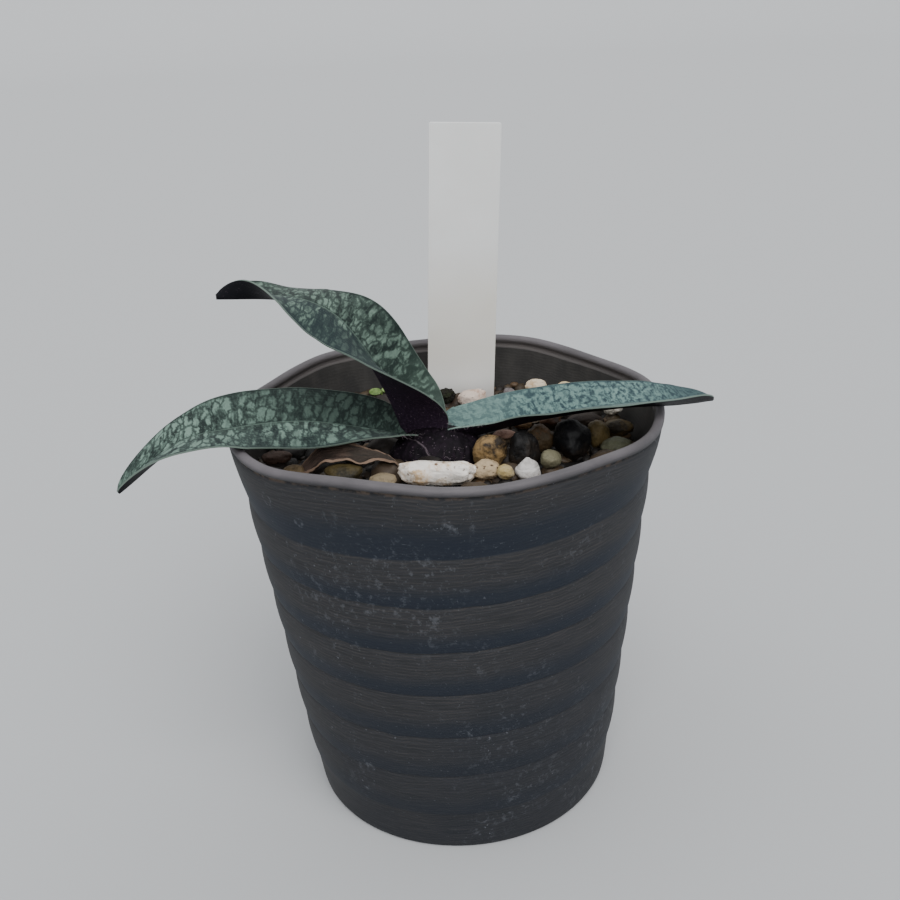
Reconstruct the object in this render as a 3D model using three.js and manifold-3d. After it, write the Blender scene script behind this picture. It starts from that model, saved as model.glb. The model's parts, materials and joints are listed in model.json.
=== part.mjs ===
// A young slipper orchid (Paphiopedilum) in its ribbed plastic pot: three mottled leaves on one
// crown with its roots, a bed of mixed grit, loose stones on top, a plain label, a dry leaf.
// Millimetres, +Z up. The origin is the centre of the pot's underside.
import * as THREE from "three";
import { mergeVertices } from "three/addons/utils/BufferGeometryUtils.js";
import Module from "manifold-3d";

const wasm = await Module();
wasm.setup();

// ---------------------------------------------------------------- driving dimensions
const GAP = 0.3; // clearance between pieces that touch
const TURN = 2 * Math.PI;

const POT = {
  height: 88.3,
  rimRadius: 45,
  beadRadius: 1,
  wall: 1.9,
  floor: 3,
  baseRadius: 33.35, // of the straight cone, at the foot
  taper: 0.12, // growth of radius with height
  sides: 48,
  firstGroove: 9.8,
  groovePitch: 10.67,
  grooves: 7,
  ribDepth: 0.55,
  collarFlare: 1.25,
  collarRise: 12,
  ribTilt: 0.64, // the ribs stand a little higher on the +X side
  ledge: 2.4, // inner step below the rim
};
const RIM_WAVES = [
  { count: 1, height: 0.49, peak: -114 },
  { count: 2, height: 0.59, peak: 81 },
  { count: 6, height: 0.6, peak: 7 },
]; // peak in degrees from +X
const FOOT = { bossRadius: 9, ringInner: 26, ringOuter: 32.4, recess: 1.5 };
const DRAIN = { holes: 8, radius: 2.2, circle: 17.5 };

const BED = {
  edge: 75.6, // height at the wall
  middle: 76.6,
  backRise: 2, // the grit is heaped against the back wall
  backFrom: 26,
  pebbles: 46,
  pebbleMin: 3.4,
  pebbleMax: 5.6,
  seatBite: 1, // how far a pebble reaches up into the stone it carries, and down into the bed
  crowding: 0.72, // share of the summed radii that two pebbles keep apart
  seed: 11,
};

// A leaf is drawn by six stations from its base to its tip: the midrib's place, half the width,
// the roll about the midrib, the V fold of each half, and how much each half curls further.
const LEAF_LEFT_LOW = [
  { at: [-5.5, 2.5, 78.5], half: 6, roll: -7, fold: 33, curl: 15 },
  { at: [-16.5, -2, 83.5], half: 7.8, roll: -21, fold: 28, curl: 3 },
  { at: [-29, -7.5, 88], half: 9, roll: -24, fold: 15, curl: -9 },
  { at: [-41.5, -13, 89.5], half: 9.4, roll: -15, fold: 13, curl: 0 },
  { at: [-51.5, -18, 89], half: 6.8, roll: -5, fold: 15, curl: -2 },
  { at: [-63.5, -20.5, 81], half: 4, roll: -3, fold: 36, curl: 8 },
];
const LEAF_LEFT_HIGH = [
  { at: [-7.5, 4, 77], half: 11.4, roll: -72, fold: 70, curl: 18 },
  { at: [-11, -1, 90.5], half: 10.8, roll: -38, fold: 41, curl: 19 },
  { at: [-16.5, -4.5, 103.5], half: 10.4, roll: -38, fold: 15, curl: 16 },
  { at: [-22, -6, 110.5], half: 8.6, roll: -21, fold: 9, curl: -30 },
  { at: [-30, -6, 113.5], half: 7, roll: 2, fold: 8, curl: -5 },
  { at: [-42.5, -6.5, 114.5], half: 4.2, roll: 30, fold: 61, curl: 36 },
];
const LEAF_RIGHT = [
  { at: [-1.5, 2.5, 77.5], half: 6.8, roll: 9, fold: 50, curl: 15 },
  { at: [12.5, 1, 81.5], half: 7.2, roll: 12, fold: 38, curl: 5 },
  { at: [24.5, -4, 85.5], half: 8.2, roll: 4, fold: 26, curl: 0 },
  { at: [36.5, -8, 88], half: 8.2, roll: -2, fold: 18, curl: 3 },
  { at: [46.5, -9.5, 88.5], half: 6.2, roll: -6, fold: 20, curl: 7 },
  { at: [54, -7, 88], half: 4, roll: -7, fold: 25, curl: 10 },
];
const DRY_LEAF = [
  { at: [-29.4, -10.2, 78.2], half: 1.5, roll: 14, fold: 24, curl: 20 },
  { at: [-25.8, -10.2, 80.3], half: 2.8, roll: 22, fold: 24, curl: 30 },
  { at: [-22, -10.4, 81.5], half: 3.4, roll: 24, fold: 22, curl: 40 },
  { at: [-18.2, -11, 81.4], half: 2.8, roll: 20, fold: 18, curl: 44 },
  { at: [-14.2, -11.2, 80.8], half: 2.1, roll: 16, fold: 20, curl: 34 },
  { at: [-9.8, -11.2, 79.4], half: 1.3, roll: 8, fold: 24, curl: 20 },
];
const BLADE = { thick: 1.15, edge: 0.75, keel: 0.45, along: 21, across: 8 };
const TIP = { from: 0.8, blunt: 0.11 }; // where a leaf starts to round off, and its last width's share
const SHEATH = { thick: 1.7, edge: 0.8, along: 36 }; // the part of a leaf that clasps the crown
const SHEATH_END = { left: 0.13, right: 0.07 }; // share of the leaf
const DRY = { thick: 0.7, edge: 0.7, along: 10, across: 6 };

const LEAVES = [
  { name: "leaf_left_low", stations: LEAF_LEFT_LOW, sheathEnd: SHEATH_END.left },
  { name: "leaf_right", stations: LEAF_RIGHT, sheathEnd: SHEATH_END.right },
  { name: "leaf_left_high", stations: LEAF_LEFT_HIGH, sheathEnd: SHEATH_END.left },
];
const CROWN = { at: [-1.6, -1.2, 75.6], half: [10.4, 7.8, 7.6] };
const ROOT = { radius: 1.9, sides: 5, steps: 7 };
const ROOTS = [
  { heading: 20, reach: 25, depth: 52 },
  { heading: 95, reach: 22, depth: 63 },
  { heading: 165, reach: 27, depth: 46 },
  { heading: 235, reach: 21, depth: 66 },
  { heading: 305, reach: 26, depth: 40 },
]; // heading in degrees from +X, depth below the crown

const LABEL = {
  width: 15.4,
  thick: 0.8,
  top: 140.5,
  length: 106.5,
  point: 20,
  foot: 4.5,
  at: [4.6, 27.6, 88],
  lean: 3.6, // degrees towards +X
};

const SEEDLING = { at: [-14.6, 32.4], ground: 72, top: 79.4, stem: 0.4, leaf: [1.5, 1, 0.4], spread: 1.5 };

const DENTS = { lobes: 3, depth: 0.035, width: 2.2, roundFrom: 1.8 }; // of every loose stone

// Stones that lie loose on the bed: centre, half sizes, turn about the upright in degrees, colour.
const STONES = [
  { name: "stone_white_long", at: [-1.8, -15.9, 79], half: [7.9, 3.3, 2.7], turn: -8, colour: 0xe2d8ca },
  { name: "stone_pale_flat", at: [7.4, -14.9, 79], half: [3.1, 2.5, 2.1], turn: 10, colour: 0xcdbfa6 },
  { name: "stone_cream_small", at: [11.3, -17.4, 79], half: [1.9, 1.7, 1.6], turn: 40, colour: 0xd9c69a },
  { name: "stone_white_cone", at: [15.8, -15.6, 79], half: [2.7, 2.3, 2.3], turn: 0, colour: 0xdcd9d2 },
  { name: "stone_olive_beige", at: [20.8, -12, 79], half: [2.3, 2.1, 2], turn: 60, colour: 0x9f9a78 },
  { name: "stone_amber", at: [8.8, -6.8, 79], half: [3.4, 3.4, 3.7], turn: 0, colour: 0x96703a },
  { name: "stone_black_mid", at: [15.8, -7.6, 79], half: [3.7, 3.4, 4.3], turn: 70, colour: 0x17171b },
  { name: "stone_brown_olive", at: [19.6, -0.8, 79], half: [3.4, 2.8, 3], turn: 20, colour: 0x4c4433 },
  { name: "stone_black_large", at: [26.2, -3.6, 79.4], half: [3.7, 5, 4.8], turn: 0, colour: 0x121216 },
  { name: "stone_olive_tan", at: [32, -0.6, 79], half: [2.5, 2.7, 3.4], turn: 0, colour: 0x7b6d48 },
  { name: "stone_grey_green", at: [34.8, -5.8, 78.4], half: [3.7, 2.3, 1.7], turn: 20, colour: 0x5f6455 },
  { name: "stone_olive_brown", at: [36.6, 2.8, 78.8], half: [3.3, 2.6, 2], turn: 12, colour: 0x5b5138 },
  { name: "stone_white_small", at: [37, 11.6, 79.9], half: [2.3, 1.7, 1.7], turn: 20, colour: 0xcfccc4 },
  { name: "stone_dark_brown", at: [30.4, 8.6, 78.4], half: [4.4, 2.6, 1.9], turn: -10, colour: 0x33281f },
  { name: "stone_tan", at: [16.6, 8.9, 78.6], half: [2.4, 1.9, 1.2], turn: 0, colour: 0x9c8660 },
  { name: "stone_red_brown", at: [22.8, 9.2, 78.6], half: [2.5, 2.3, 1.8], turn: 35, colour: 0x6d4632 },
  { name: "stone_pink_chip", at: [12.4, 4, 78.4], half: [2.6, 1.7, 1], turn: -8, colour: 0xb49488 },
  { name: "stone_white_back", at: [21.4, 26.6, 80.4], half: [2.5, 1.9, 1.9], turn: 5, colour: 0xd8cfc0 },
  { name: "stone_cream_back", at: [27.9, 24.4, 80.4], half: [2.7, 1.9, 1.7], turn: -12, colour: 0xd2c3a2 },
  { name: "stone_grey_back", at: [15.2, 24.6, 80], half: [1.7, 1.5, 1.5], turn: 0, colour: 0x85838a },
  { name: "stone_blush", at: [6.4, 21.6, 80.2], half: [3.4, 2.3, 2.2], turn: 14, colour: 0xcbb8ae },
  { name: "bark_mossy", at: [0.8, 24, 80.4], half: [2.3, 1.8, 1.9], turn: -20, colour: 0x3a3226 },
  { name: "stone_flake_left", at: [-35.4, -3.4, 79], half: [3.4, 2.4, 1.3], turn: -16, colour: 0x6b5f54 },
  { name: "stone_tan_left", at: [-31, -9.6, 78.4], half: [2.5, 2, 1.5], turn: 0, colour: 0x8f7e62 },
  { name: "stone_olive_left", at: [-20.6, -13.6, 79], half: [3.9, 2.7, 2.1], turn: 8, colour: 0x77713f },
  { name: "stone_pale_left", at: [-12.8, -16.8, 78.8], half: [2.9, 1.9, 1.2], turn: 5, colour: 0xb7ad99 },
];

// ---------------------------------------------------------------- solids
const degrees = THREE.MathUtils.degToRad;
const clamp01 = (x) => THREE.MathUtils.clamp(x, 0, 1);

// A closed geometry as a solid: only positions, shared corners merged, flat triangles dropped.
function solidOf(geometry) {
  const bare = geometry.clone();
  bare.deleteAttribute("normal");
  bare.deleteAttribute("uv");
  const merged = mergeVertices(bare, 1e-4);
  const corners = merged.index.array;
  const kept = [];
  for (let i = 0; i < corners.length; i += 3) {
    const [a, b, c] = corners.subarray(i, i + 3);
    if (a !== b && b !== c && c !== a) kept.push(a, b, c);
  }
  return new wasm.Manifold(
    new wasm.Mesh({
      numProp: 3,
      vertProperties: Float32Array.from(merged.attributes.position.array),
      triVerts: Uint32Array.from(kept),
    }),
  );
}

// The biggest connected body of a solid: scraps left by a cut are dropped.
function largestBody(solid) {
  const bodies = solid.decompose();
  bodies.sort((a, b) => b.volume() - a.volume());
  return bodies[0];
}

function meshOf(name, solid, colour, roughness = 0.7) {
  const { vertProperties, triVerts } = largestBody(solid).getMesh();
  const geometry = new THREE.BufferGeometry();
  geometry.setAttribute("position", new THREE.BufferAttribute(vertProperties, 3));
  geometry.setIndex(new THREE.BufferAttribute(triVerts, 1));
  geometry.computeVertexNormals();
  const material = new THREE.MeshStandardMaterial({ color: colour, roughness, metalness: 0 });
  const mesh = new THREE.Mesh(geometry, material);
  mesh.name = name;
  return mesh;
}

function boxesMeet(a, b) {
  const [p, q] = [a.boundingBox(), b.boundingBox()];
  return [0, 1, 2].every((k) => p.min[k] < q.max[k] && q.min[k] < p.max[k]);
}

// A solid with each of its neighbours' clearance shapes cut away where they meet.
function clearOf(solid, neighbours) {
  return neighbours.reduce((rest, other) => (boxesMeet(rest, other) ? rest.subtract(other) : rest), solid);
}

// A seeded stream of numbers from 0 to 1.
function randomStream(seed) {
  let state = seed;
  return () => {
    state = (state * 1664525 + 1013904223) % 4294967296;
    return state / 4294967296;
  };
}

// ---------------------------------------------------------------- pot
const lastGroove = POT.firstGroove + POT.groovePitch * (POT.grooves - 1);

function coneRadius(z) {
  return POT.baseRadius + POT.taper * z;
}

// The collar above the last groove opens out towards the rim.
function collar(z) {
  const rise = clamp01((z - lastGroove) / POT.collarRise);
  return POT.collarFlare * Math.sin((rise * Math.PI) / 2);
}

// Each rib is a band that swells between two sharp grooves.
function ribSwell(z) {
  const share = (z - POT.firstGroove) / POT.groovePitch;
  if (share < 0 || share >= POT.grooves - 1) return 0;
  return POT.ribDepth * Math.sin(Math.PI * (share % 1)) ** 0.6;
}

function outerRadius(z) {
  return coneRadius(z) + collar(z) + ribSwell(z) - POT.ribDepth / 2;
}

function innerRadius(z) {
  return coneRadius(z) + collar(z) - POT.wall;
}

function rimWave(angle) {
  return RIM_WAVES.reduce(
    (sum, wave) => sum + wave.height * Math.cos(wave.count * (angle - degrees(wave.peak))),
    0,
  );
}

// How far a point of the pot's wall is lifted from a true surface of revolution.
function wallLift(angle, z) {
  const nearRim = THREE.MathUtils.smoothstep(z, lastGroove - 4, POT.height - 2);
  const ribs = THREE.MathUtils.smoothstep(z, 0, POT.firstGroove);
  return nearRim * rimWave(angle) + (1 - nearRim) * ribs * POT.ribTilt * Math.cos(angle);
}

function lathe(profile, lift = () => 0) {
  const points = profile.map(([r, z]) => new THREE.Vector2(r, z));
  const geometry = new THREE.LatheGeometry(points, POT.sides);
  geometry.rotateX(Math.PI / 2);
  const place = geometry.attributes.position;
  for (let i = 0; i < place.count; i++) {
    const angle = Math.atan2(place.getY(i), place.getX(i));
    place.setZ(i, place.getZ(i) + lift(angle, place.getZ(i)));
  }
  return solidOf(geometry);
}

function potSolid() {
  const profile = [
    [0, 0],
    [FOOT.bossRadius, 0],
    [FOOT.bossRadius + 0.8, FOOT.recess],
    [FOOT.ringInner - 0.8, FOOT.recess],
    [FOOT.ringInner, 0],
    [FOOT.ringOuter, 0],
    [FOOT.ringOuter + 0.7, 0.9],
    [outerRadius(4.5), 4.5],
  ];
  for (let rib = 0; rib < POT.grooves - 1; rib++) {
    for (const share of [0, 0.22, 0.78]) {
      const z = POT.firstGroove + POT.groovePitch * (rib + share);
      profile.push([outerRadius(z), z]);
    }
  }
  const beadCentre = POT.height - POT.beadRadius;
  for (const share of [0, 0.15, 0.45, 0.92]) {
    const z = lastGroove + (beadCentre - lastGroove) * share;
    profile.push([outerRadius(z), z]);
  }
  for (const turn of [-28, 30, 90, 150, 208]) {
    const r = POT.rimRadius - POT.beadRadius + POT.beadRadius * Math.cos(degrees(turn));
    profile.push([r, beadCentre + POT.beadRadius * Math.sin(degrees(turn))]);
  }
  const ledgeHeight = POT.height - POT.ledge;
  profile.push([innerRadius(ledgeHeight) + 0.35, ledgeHeight]);
  for (const z of [ledgeHeight - 0.6, lastGroove, POT.floor + 2]) {
    profile.push([innerRadius(z), z]);
  }
  profile.push([innerRadius(POT.floor) - 2, POT.floor]);
  profile.push([0, POT.floor]);
  let pot = lathe(profile, wallLift);
  for (let i = 0; i < DRAIN.holes; i++) {
    const angle = (TURN * (i + 0.5)) / DRAIN.holes;
    const drill = new THREE.CylinderGeometry(DRAIN.radius, DRAIN.radius, 4 * POT.floor, 10);
    drill.rotateX(Math.PI / 2);
    drill.translate(DRAIN.circle * Math.cos(angle), DRAIN.circle * Math.sin(angle), 0);
    pot = pot.subtract(solidOf(drill));
  }
  return pot;
}

// ---------------------------------------------------------------- leaves
// A value between the stations of a leaf, on a Catmull-Rom curve.
function between(values, t) {
  const last = values.length - 1;
  const i = Math.min(Math.floor(t * last), last - 1);
  const s = t * last - i;
  const before = i > 0 ? values[i - 1] : 2 * values[0] - values[1];
  const after = i + 2 <= last ? values[i + 2] : 2 * values[last] - values[last - 1];
  const slopeIn = (values[i + 1] - before) / 2;
  const slopeOut = (after - values[i]) / 2;
  return (
    (2 * s ** 3 - 3 * s ** 2 + 1) * values[i] +
    (s ** 3 - 2 * s ** 2 + s) * slopeIn +
    (3 * s ** 2 - 2 * s ** 3) * values[i + 1] +
    (s ** 3 - s ** 2) * slopeOut
  );
}

function midrib(stations, t) {
  return new THREE.Vector3(...[0, 1, 2].map((k) => between(stations.map((s) => s.at[k]), t)));
}

// The leaf's own axes at a point of its midrib: along it, across it, and out of its upper face.
function leafAxes(stations, t) {
  const step = 1e-3;
  const ahead = midrib(stations, Math.min(t + step, 1));
  const along = ahead.sub(midrib(stations, Math.max(t - step, 0))).normalize();
  const level = new THREE.Vector3(0, 0, 1).cross(along).normalize();
  const roll = degrees(between(stations.map((s) => s.roll), t));
  const across = level.applyAxisAngle(along, roll);
  const out = new THREE.Vector3().crossVectors(along, across);
  return { along, across, out };
}

// A point of the leaf's middle surface: t runs from base to tip, u from one margin to the other.
function leafPoint(stations, t, u, extra = 0) {
  const { across, out } = leafAxes(stations, t);
  const towardsTip = clamp01((t - TIP.from) / (1 - TIP.from));
  const rounding = Math.max(Math.sqrt(1 - towardsTip ** 2), TIP.blunt);
  const half = between(stations.map((s) => s.half), t) * rounding + extra;
  const fold = degrees(between(stations.map((s) => s.fold), t));
  const curl = degrees(between(stations.map((s) => s.curl), t));
  const steps = 6;
  let sideways = 0;
  let up = 0;
  for (let k = 0; k < steps; k++) {
    const slope = fold + (curl * Math.abs(u) * (k + 0.5)) / steps;
    sideways += (Math.cos(slope) * Math.abs(u)) / steps;
    up += (Math.sin(slope) * Math.abs(u)) / steps;
  }
  const point = midrib(stations, t);
  point.addScaledVector(across, Math.sign(u) * sideways * half);
  return point.addScaledVector(out, up * half);
}

function leafNormal(stations, t, u, extra) {
  if (u === 0) return leafAxes(stations, t).out;
  const step = 1e-3;
  const side = (v) => leafPoint(stations, THREE.MathUtils.clamp(v, 0, 1), u, extra);
  const alongDirection = side(t + step).sub(side(t - step));
  const outer = leafPoint(stations, t, u + step * Math.sign(u), extra);
  const acrossDirection = outer.sub(leafPoint(stations, t, u - step * Math.sign(u), extra));
  return alongDirection.cross(acrossDirection.multiplyScalar(Math.sign(u))).normalize();
}

// A stretch of a leaf as a closed solid. Grown by a margin, it is the leaf's clearance shape.
function leafSolid(stations, options) {
  const { from = 0, to = 1, margin = 0, thick, edge, along, across: cols } = { ...BLADE, ...options };
  const rows = Math.max(3, Math.round(along * (to - from)));
  const corners = [];
  for (const face of [1, -1]) {
    for (let i = 0; i <= rows; i++) {
      for (let j = 0; j <= cols; j++) {
        const t = from + ((to - from) * i) / rows;
        const u = (2 * j) / cols - 1;
        const normal = leafNormal(stations, t, u, margin);
        const keel = face < 0 && u === 0 ? BLADE.keel * (1 - t) * (thick / BLADE.thick) : 0;
        const offset = (thick + (edge - thick) * u * u) / 2 + keel + margin;
        corners.push(...leafPoint(stations, t, u, margin).addScaledVector(normal, face * offset));
      }
    }
  }
  const row = cols + 1;
  const under = row * (rows + 1);
  const faces = [];
  const quad = (a, b, c, d) => faces.push(a, b, c, a, c, d);
  for (let i = 0; i < rows; i++) {
    for (let j = 0; j < cols; j++) {
      const a = i * row + j;
      quad(a, a + row, a + row + 1, a + 1);
      faces.push(under + a, under + a + row + 1, under + a + row);
      faces.push(under + a, under + a + 1, under + a + row + 1);
    }
  }
  for (let i = 0; i < rows; i++) {
    const a = i * row;
    const b = a + cols;
    quad(a, under + a, under + a + row, a + row);
    quad(b, b + row, under + b + row, under + b);
  }
  for (let j = 0; j < cols; j++) {
    const end = rows * row + j;
    quad(j, j + 1, under + j + 1, under + j);
    quad(end, under + end, under + end + 1, end + 1);
  }
  const geometry = new THREE.BufferGeometry();
  geometry.setAttribute("position", new THREE.Float32BufferAttribute(corners, 3));
  geometry.setIndex(faces);
  return solidOf(geometry);
}

function blade(stations, sheathEnd, margin = 0) {
  return leafSolid(stations, { from: sheathEnd + (margin ? 0 : 0.008), margin });
}

// ---------------------------------------------------------------- crown and roots
function ellipsoid([x, y, z], [a, b, c], detail = 1) {
  const geometry = new THREE.IcosahedronGeometry(1, detail);
  geometry.scale(a, b, c);
  geometry.translate(x, y, z);
  return solidOf(geometry);
}

function rootSolid({ heading, reach, depth }, radius) {
  const [x, y, z] = CROWN.at;
  const angle = degrees(heading);
  const place = (share, drop, swing) =>
    new THREE.Vector3(
      x + reach * share * Math.cos(angle + swing),
      y + reach * share * Math.sin(angle + swing),
      z - depth * drop,
    );
  const path = new THREE.CatmullRomCurve3([
    place(0, 0.02, 0),
    place(0.25, 0.14, 0),
    place(0.7, 0.3, 0.12),
    place(1, 0.55, 0.3),
    place(0.9, 0.8, 0.42),
    place(1.02, 1, 0.5),
  ]);
  const section = new THREE.Shape();
  section.absarc(0, 0, radius, 0, TURN);
  const geometry = new THREE.ExtrudeGeometry(section, {
    extrudePath: path,
    steps: ROOT.steps,
    curveSegments: ROOT.sides,
  });
  return solidOf(geometry);
}

function rootstock(margin = 0) {
  const half = CROWN.half.map((h) => h + margin);
  let body = ellipsoid(CROWN.at, half);
  for (const { stations, sheathEnd } of LEAVES) {
    body = body.add(leafSolid(stations, { to: sheathEnd, margin, ...SHEATH }));
  }
  for (const root of ROOTS) {
    body = body.add(rootSolid(root, ROOT.radius + margin));
  }
  return body;
}

// ---------------------------------------------------------------- stones
// A water-worn stone: a faceted ball drawn out on three axes, with broad low dents.
function stoneSolid({ at, half, turn }, seed, margin = 0) {
  const geometry = new THREE.IcosahedronGeometry(1, Math.max(...half) > DENTS.roundFrom ? 1 : 0);
  const random = randomStream(seed);
  const lobes = Array.from({ length: DENTS.lobes }, () => ({
    direction: new THREE.Vector3(random() - 0.5, random() - 0.5, random() - 0.5).normalize(),
    phase: random() * TURN,
  }));
  const place = geometry.attributes.position;
  const point = new THREE.Vector3();
  for (let i = 0; i < place.count; i++) {
    point.fromBufferAttribute(place, i);
    const wave = ({ direction, phase }) => Math.cos(DENTS.width * point.dot(direction) + phase);
    point.multiplyScalar(1 + DENTS.depth * lobes.reduce((sum, lobe) => sum + wave(lobe), 0));
    place.setXYZ(i, ...point);
  }
  geometry.scale(...half.map((h) => h + margin));
  geometry.rotateZ(degrees(turn));
  geometry.translate(...at);
  return solidOf(geometry);
}

// ---------------------------------------------------------------- label and seedling
function labelSolid(margin = 0) {
  const halfWidth = LABEL.width / 2 + margin;
  const top = LABEL.top - LABEL.at[2] + margin;
  const bottom = LABEL.top - LABEL.length - LABEL.at[2] - margin;
  const outline = new THREE.Shape([
    new THREE.Vector2(-halfWidth + 0.5, top),
    new THREE.Vector2(-halfWidth, top - 0.5),
    new THREE.Vector2(-halfWidth, bottom + LABEL.point),
    new THREE.Vector2(-LABEL.foot / 2, bottom),
    new THREE.Vector2(LABEL.foot / 2, bottom),
    new THREE.Vector2(halfWidth, bottom + LABEL.point),
    new THREE.Vector2(halfWidth, top - 0.5),
    new THREE.Vector2(halfWidth - 0.5, top),
  ]);
  const depth = LABEL.thick + 2 * margin;
  const geometry = new THREE.ExtrudeGeometry(outline, { depth, bevelEnabled: false });
  geometry.translate(0, 0, -depth / 2);
  geometry.rotateX(Math.PI / 2);
  geometry.rotateY(degrees(LABEL.lean));
  geometry.translate(...LABEL.at);
  return solidOf(geometry);
}

function seedlingSolid(margin = 0) {
  const [x, y] = SEEDLING.at;
  const height = SEEDLING.top - SEEDLING.ground;
  const stem = new THREE.CylinderGeometry(SEEDLING.stem + margin, SEEDLING.stem + margin, height, 6);
  stem.rotateX(Math.PI / 2);
  stem.translate(x, y, SEEDLING.ground + height / 2);
  const half = SEEDLING.leaf.map((h) => h + margin);
  const left = ellipsoid([x - SEEDLING.spread, y, SEEDLING.top], half);
  const right = ellipsoid([x + SEEDLING.spread, y, SEEDLING.top + 0.4], half);
  return solidOf(stem).add(left).add(right);
}

// ---------------------------------------------------------------- bed of grit
function bedBody() {
  const foot = POT.floor + GAP;
  const inside = (z) => innerRadius(z) - GAP;
  const heights = [foot + 2, lastGroove, BED.edge];
  return lathe([
    [0, foot],
    [inside(POT.floor) - 2 - GAP, foot],
    ...heights.map((z) => [inside(z), z]),
    [18, BED.middle],
    [0, BED.middle],
  ]);
}

// Everything above the bed that lies inside the wall's clearance.
function bedSpace() {
  const inside = (z) => innerRadius(z) - GAP;
  const heights = [60, lastGroove, 80, POT.height - 4];
  return lathe([[0, 60], ...heights.map((z) => [inside(z), z]), [0, POT.height - 4]]);
}

// The bed's height away from the wall, as the pebbles lie on it.
function ground(x, y) {
  const inward = 1 - Math.hypot(x, y) / innerRadius(BED.edge);
  return BED.edge + (BED.middle - BED.edge) * inward + BED.backRise * clamp01(y / BED.backFrom);
}

function pebble(x, y, z, [a, b, c], random) {
  const geometry = new THREE.IcosahedronGeometry(1, 0);
  geometry.rotateX(random() * TURN);
  geometry.scale(a, b, c);
  geometry.rotateZ(random() * TURN);
  geometry.translate(x, y, z);
  return solidOf(geometry);
}

// Half-buried pebbles all over the bed, and one under each loose stone that would hang free.
function pebbles() {
  const random = randomStream(BED.seed);
  const placed = STONES.map(({ at, half }) => ({ x: at[0], y: at[1], r: Math.min(half[0], half[1]) / 2 }));
  const made = [];
  for (let tries = 0; tries < 4000 && made.length < BED.pebbles; tries++) {
    const angle = random() * TURN;
    const far = innerRadius(BED.edge) * Math.sqrt(random());
    const r = BED.pebbleMin + (BED.pebbleMax - BED.pebbleMin) * random() ** 1.5;
    const [x, y] = [far * Math.cos(angle), far * Math.sin(angle)];
    const free = placed.every((p) => Math.hypot(p.x - x, p.y - y) > BED.crowding * (p.r + r));
    if (!free || far > innerRadius(BED.edge) - 0.45 * r) continue;
    placed.push({ x, y, r });
    const long = r * (0.9 + 0.25 * random());
    const high = r * (0.7 + 0.25 * random());
    made.push(pebble(x, y, ground(x, y), [long, r, high], random));
  }
  for (const { at, half } of STONES) {
    const [x, y, z] = at;
    const foot = z - half[2];
    const rise = (foot - BED.edge) / 2;
    const hangs = foot > ground(x, y);
    if (hangs) made.push(pebble(x, y, foot - rise, [half[0], half[1], rise + BED.seatBite], random));
  }
  return made;
}

// ---------------------------------------------------------------- assembly
const orchid = new THREE.Group();
const cleared = []; // clearance shapes of all that stands in or lies on the bed
const pieces = [];

function addPiece(name, solid, clearance, colour, roughness) {
  pieces.push(meshOf(name, clearOf(solid, cleared), colour, roughness));
  cleared.push(clearance);
}

addPiece("rootstock", rootstock(), rootstock(GAP), 0x2c2230, 0.6);
for (const { name, stations, sheathEnd } of LEAVES) {
  addPiece(name, blade(stations, sheathEnd), blade(stations, sheathEnd, GAP), 0x56705f, 0.45);
}
addPiece("label", labelSolid(), labelSolid(GAP), 0xc8c6c0, 0.5);
addPiece("seedling", seedlingSolid(), seedlingSolid(GAP), 0x86a648, 0.6);
addPiece("dry_leaf", leafSolid(DRY_LEAF, DRY), leafSolid(DRY_LEAF, { ...DRY, margin: GAP }), 0x6d5140, 0.8);
STONES.forEach((stone, i) => {
  addPiece(stone.name, stoneSolid(stone, i + 1), stoneSolid(stone, i + 1, GAP), stone.colour, 0.75);
});

let bed = bedBody();
for (const pebble of pebbles()) {
  bed = bed.add(pebble);
}
bed = bed.intersect(bedBody().add(bedSpace()));
pieces.push(meshOf("grit_bed", clearOf(bed, cleared), 0x6a6152, 0.9));
pieces.push(meshOf("pot", potSolid(), 0x4b4847, 0.55));

orchid.add(...pieces);
export default orchid;
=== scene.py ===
# %% [markdown]
# # A young slipper orchid in its pot
# The plant stands in a ribbed plastic pot that is filled with grit. Three mottled leaves clasp one
# dark crown, loose stones lie on top, and a blank white label is pushed in at the back.
# The rigid model of the object is loaded first. Each piece below replaces one of its nodes with a
# finer one in the same place.

import json
import math
import random

import bpy
import numpy as np
from mathutils import Matrix, Vector, noise


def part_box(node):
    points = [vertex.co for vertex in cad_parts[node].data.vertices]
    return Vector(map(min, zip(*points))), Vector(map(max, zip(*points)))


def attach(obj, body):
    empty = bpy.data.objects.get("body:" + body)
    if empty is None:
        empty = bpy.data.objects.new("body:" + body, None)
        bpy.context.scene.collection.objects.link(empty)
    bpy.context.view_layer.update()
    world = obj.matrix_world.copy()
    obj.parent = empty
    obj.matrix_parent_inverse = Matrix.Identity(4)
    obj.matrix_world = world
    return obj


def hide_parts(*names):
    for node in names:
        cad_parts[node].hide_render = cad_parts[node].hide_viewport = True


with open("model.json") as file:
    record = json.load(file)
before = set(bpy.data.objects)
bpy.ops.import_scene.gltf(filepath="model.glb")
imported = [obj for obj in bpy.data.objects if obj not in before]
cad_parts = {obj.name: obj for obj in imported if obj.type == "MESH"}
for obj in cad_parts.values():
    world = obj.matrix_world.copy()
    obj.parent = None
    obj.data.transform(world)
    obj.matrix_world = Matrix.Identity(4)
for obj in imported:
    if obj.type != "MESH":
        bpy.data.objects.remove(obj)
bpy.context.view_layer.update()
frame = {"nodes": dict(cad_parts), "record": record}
MM = 0.001  # a millimetre, in metres

# %% [markdown]
# ## The camera
# The camera stands about 20 cm in front of the pot and 8 cm above its rim, and looks down a little.
# It comes first, so that every later piece can be judged from its place.

# %% Camera
CAMERA = {
    "back": 213.5, "height": 168.3, "turn": 0.19, "down": 23.13, "tilt": -3.2, "focal": 1100, "width": 900,
}  # millimetres and degrees; focal and width in pixels


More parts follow.
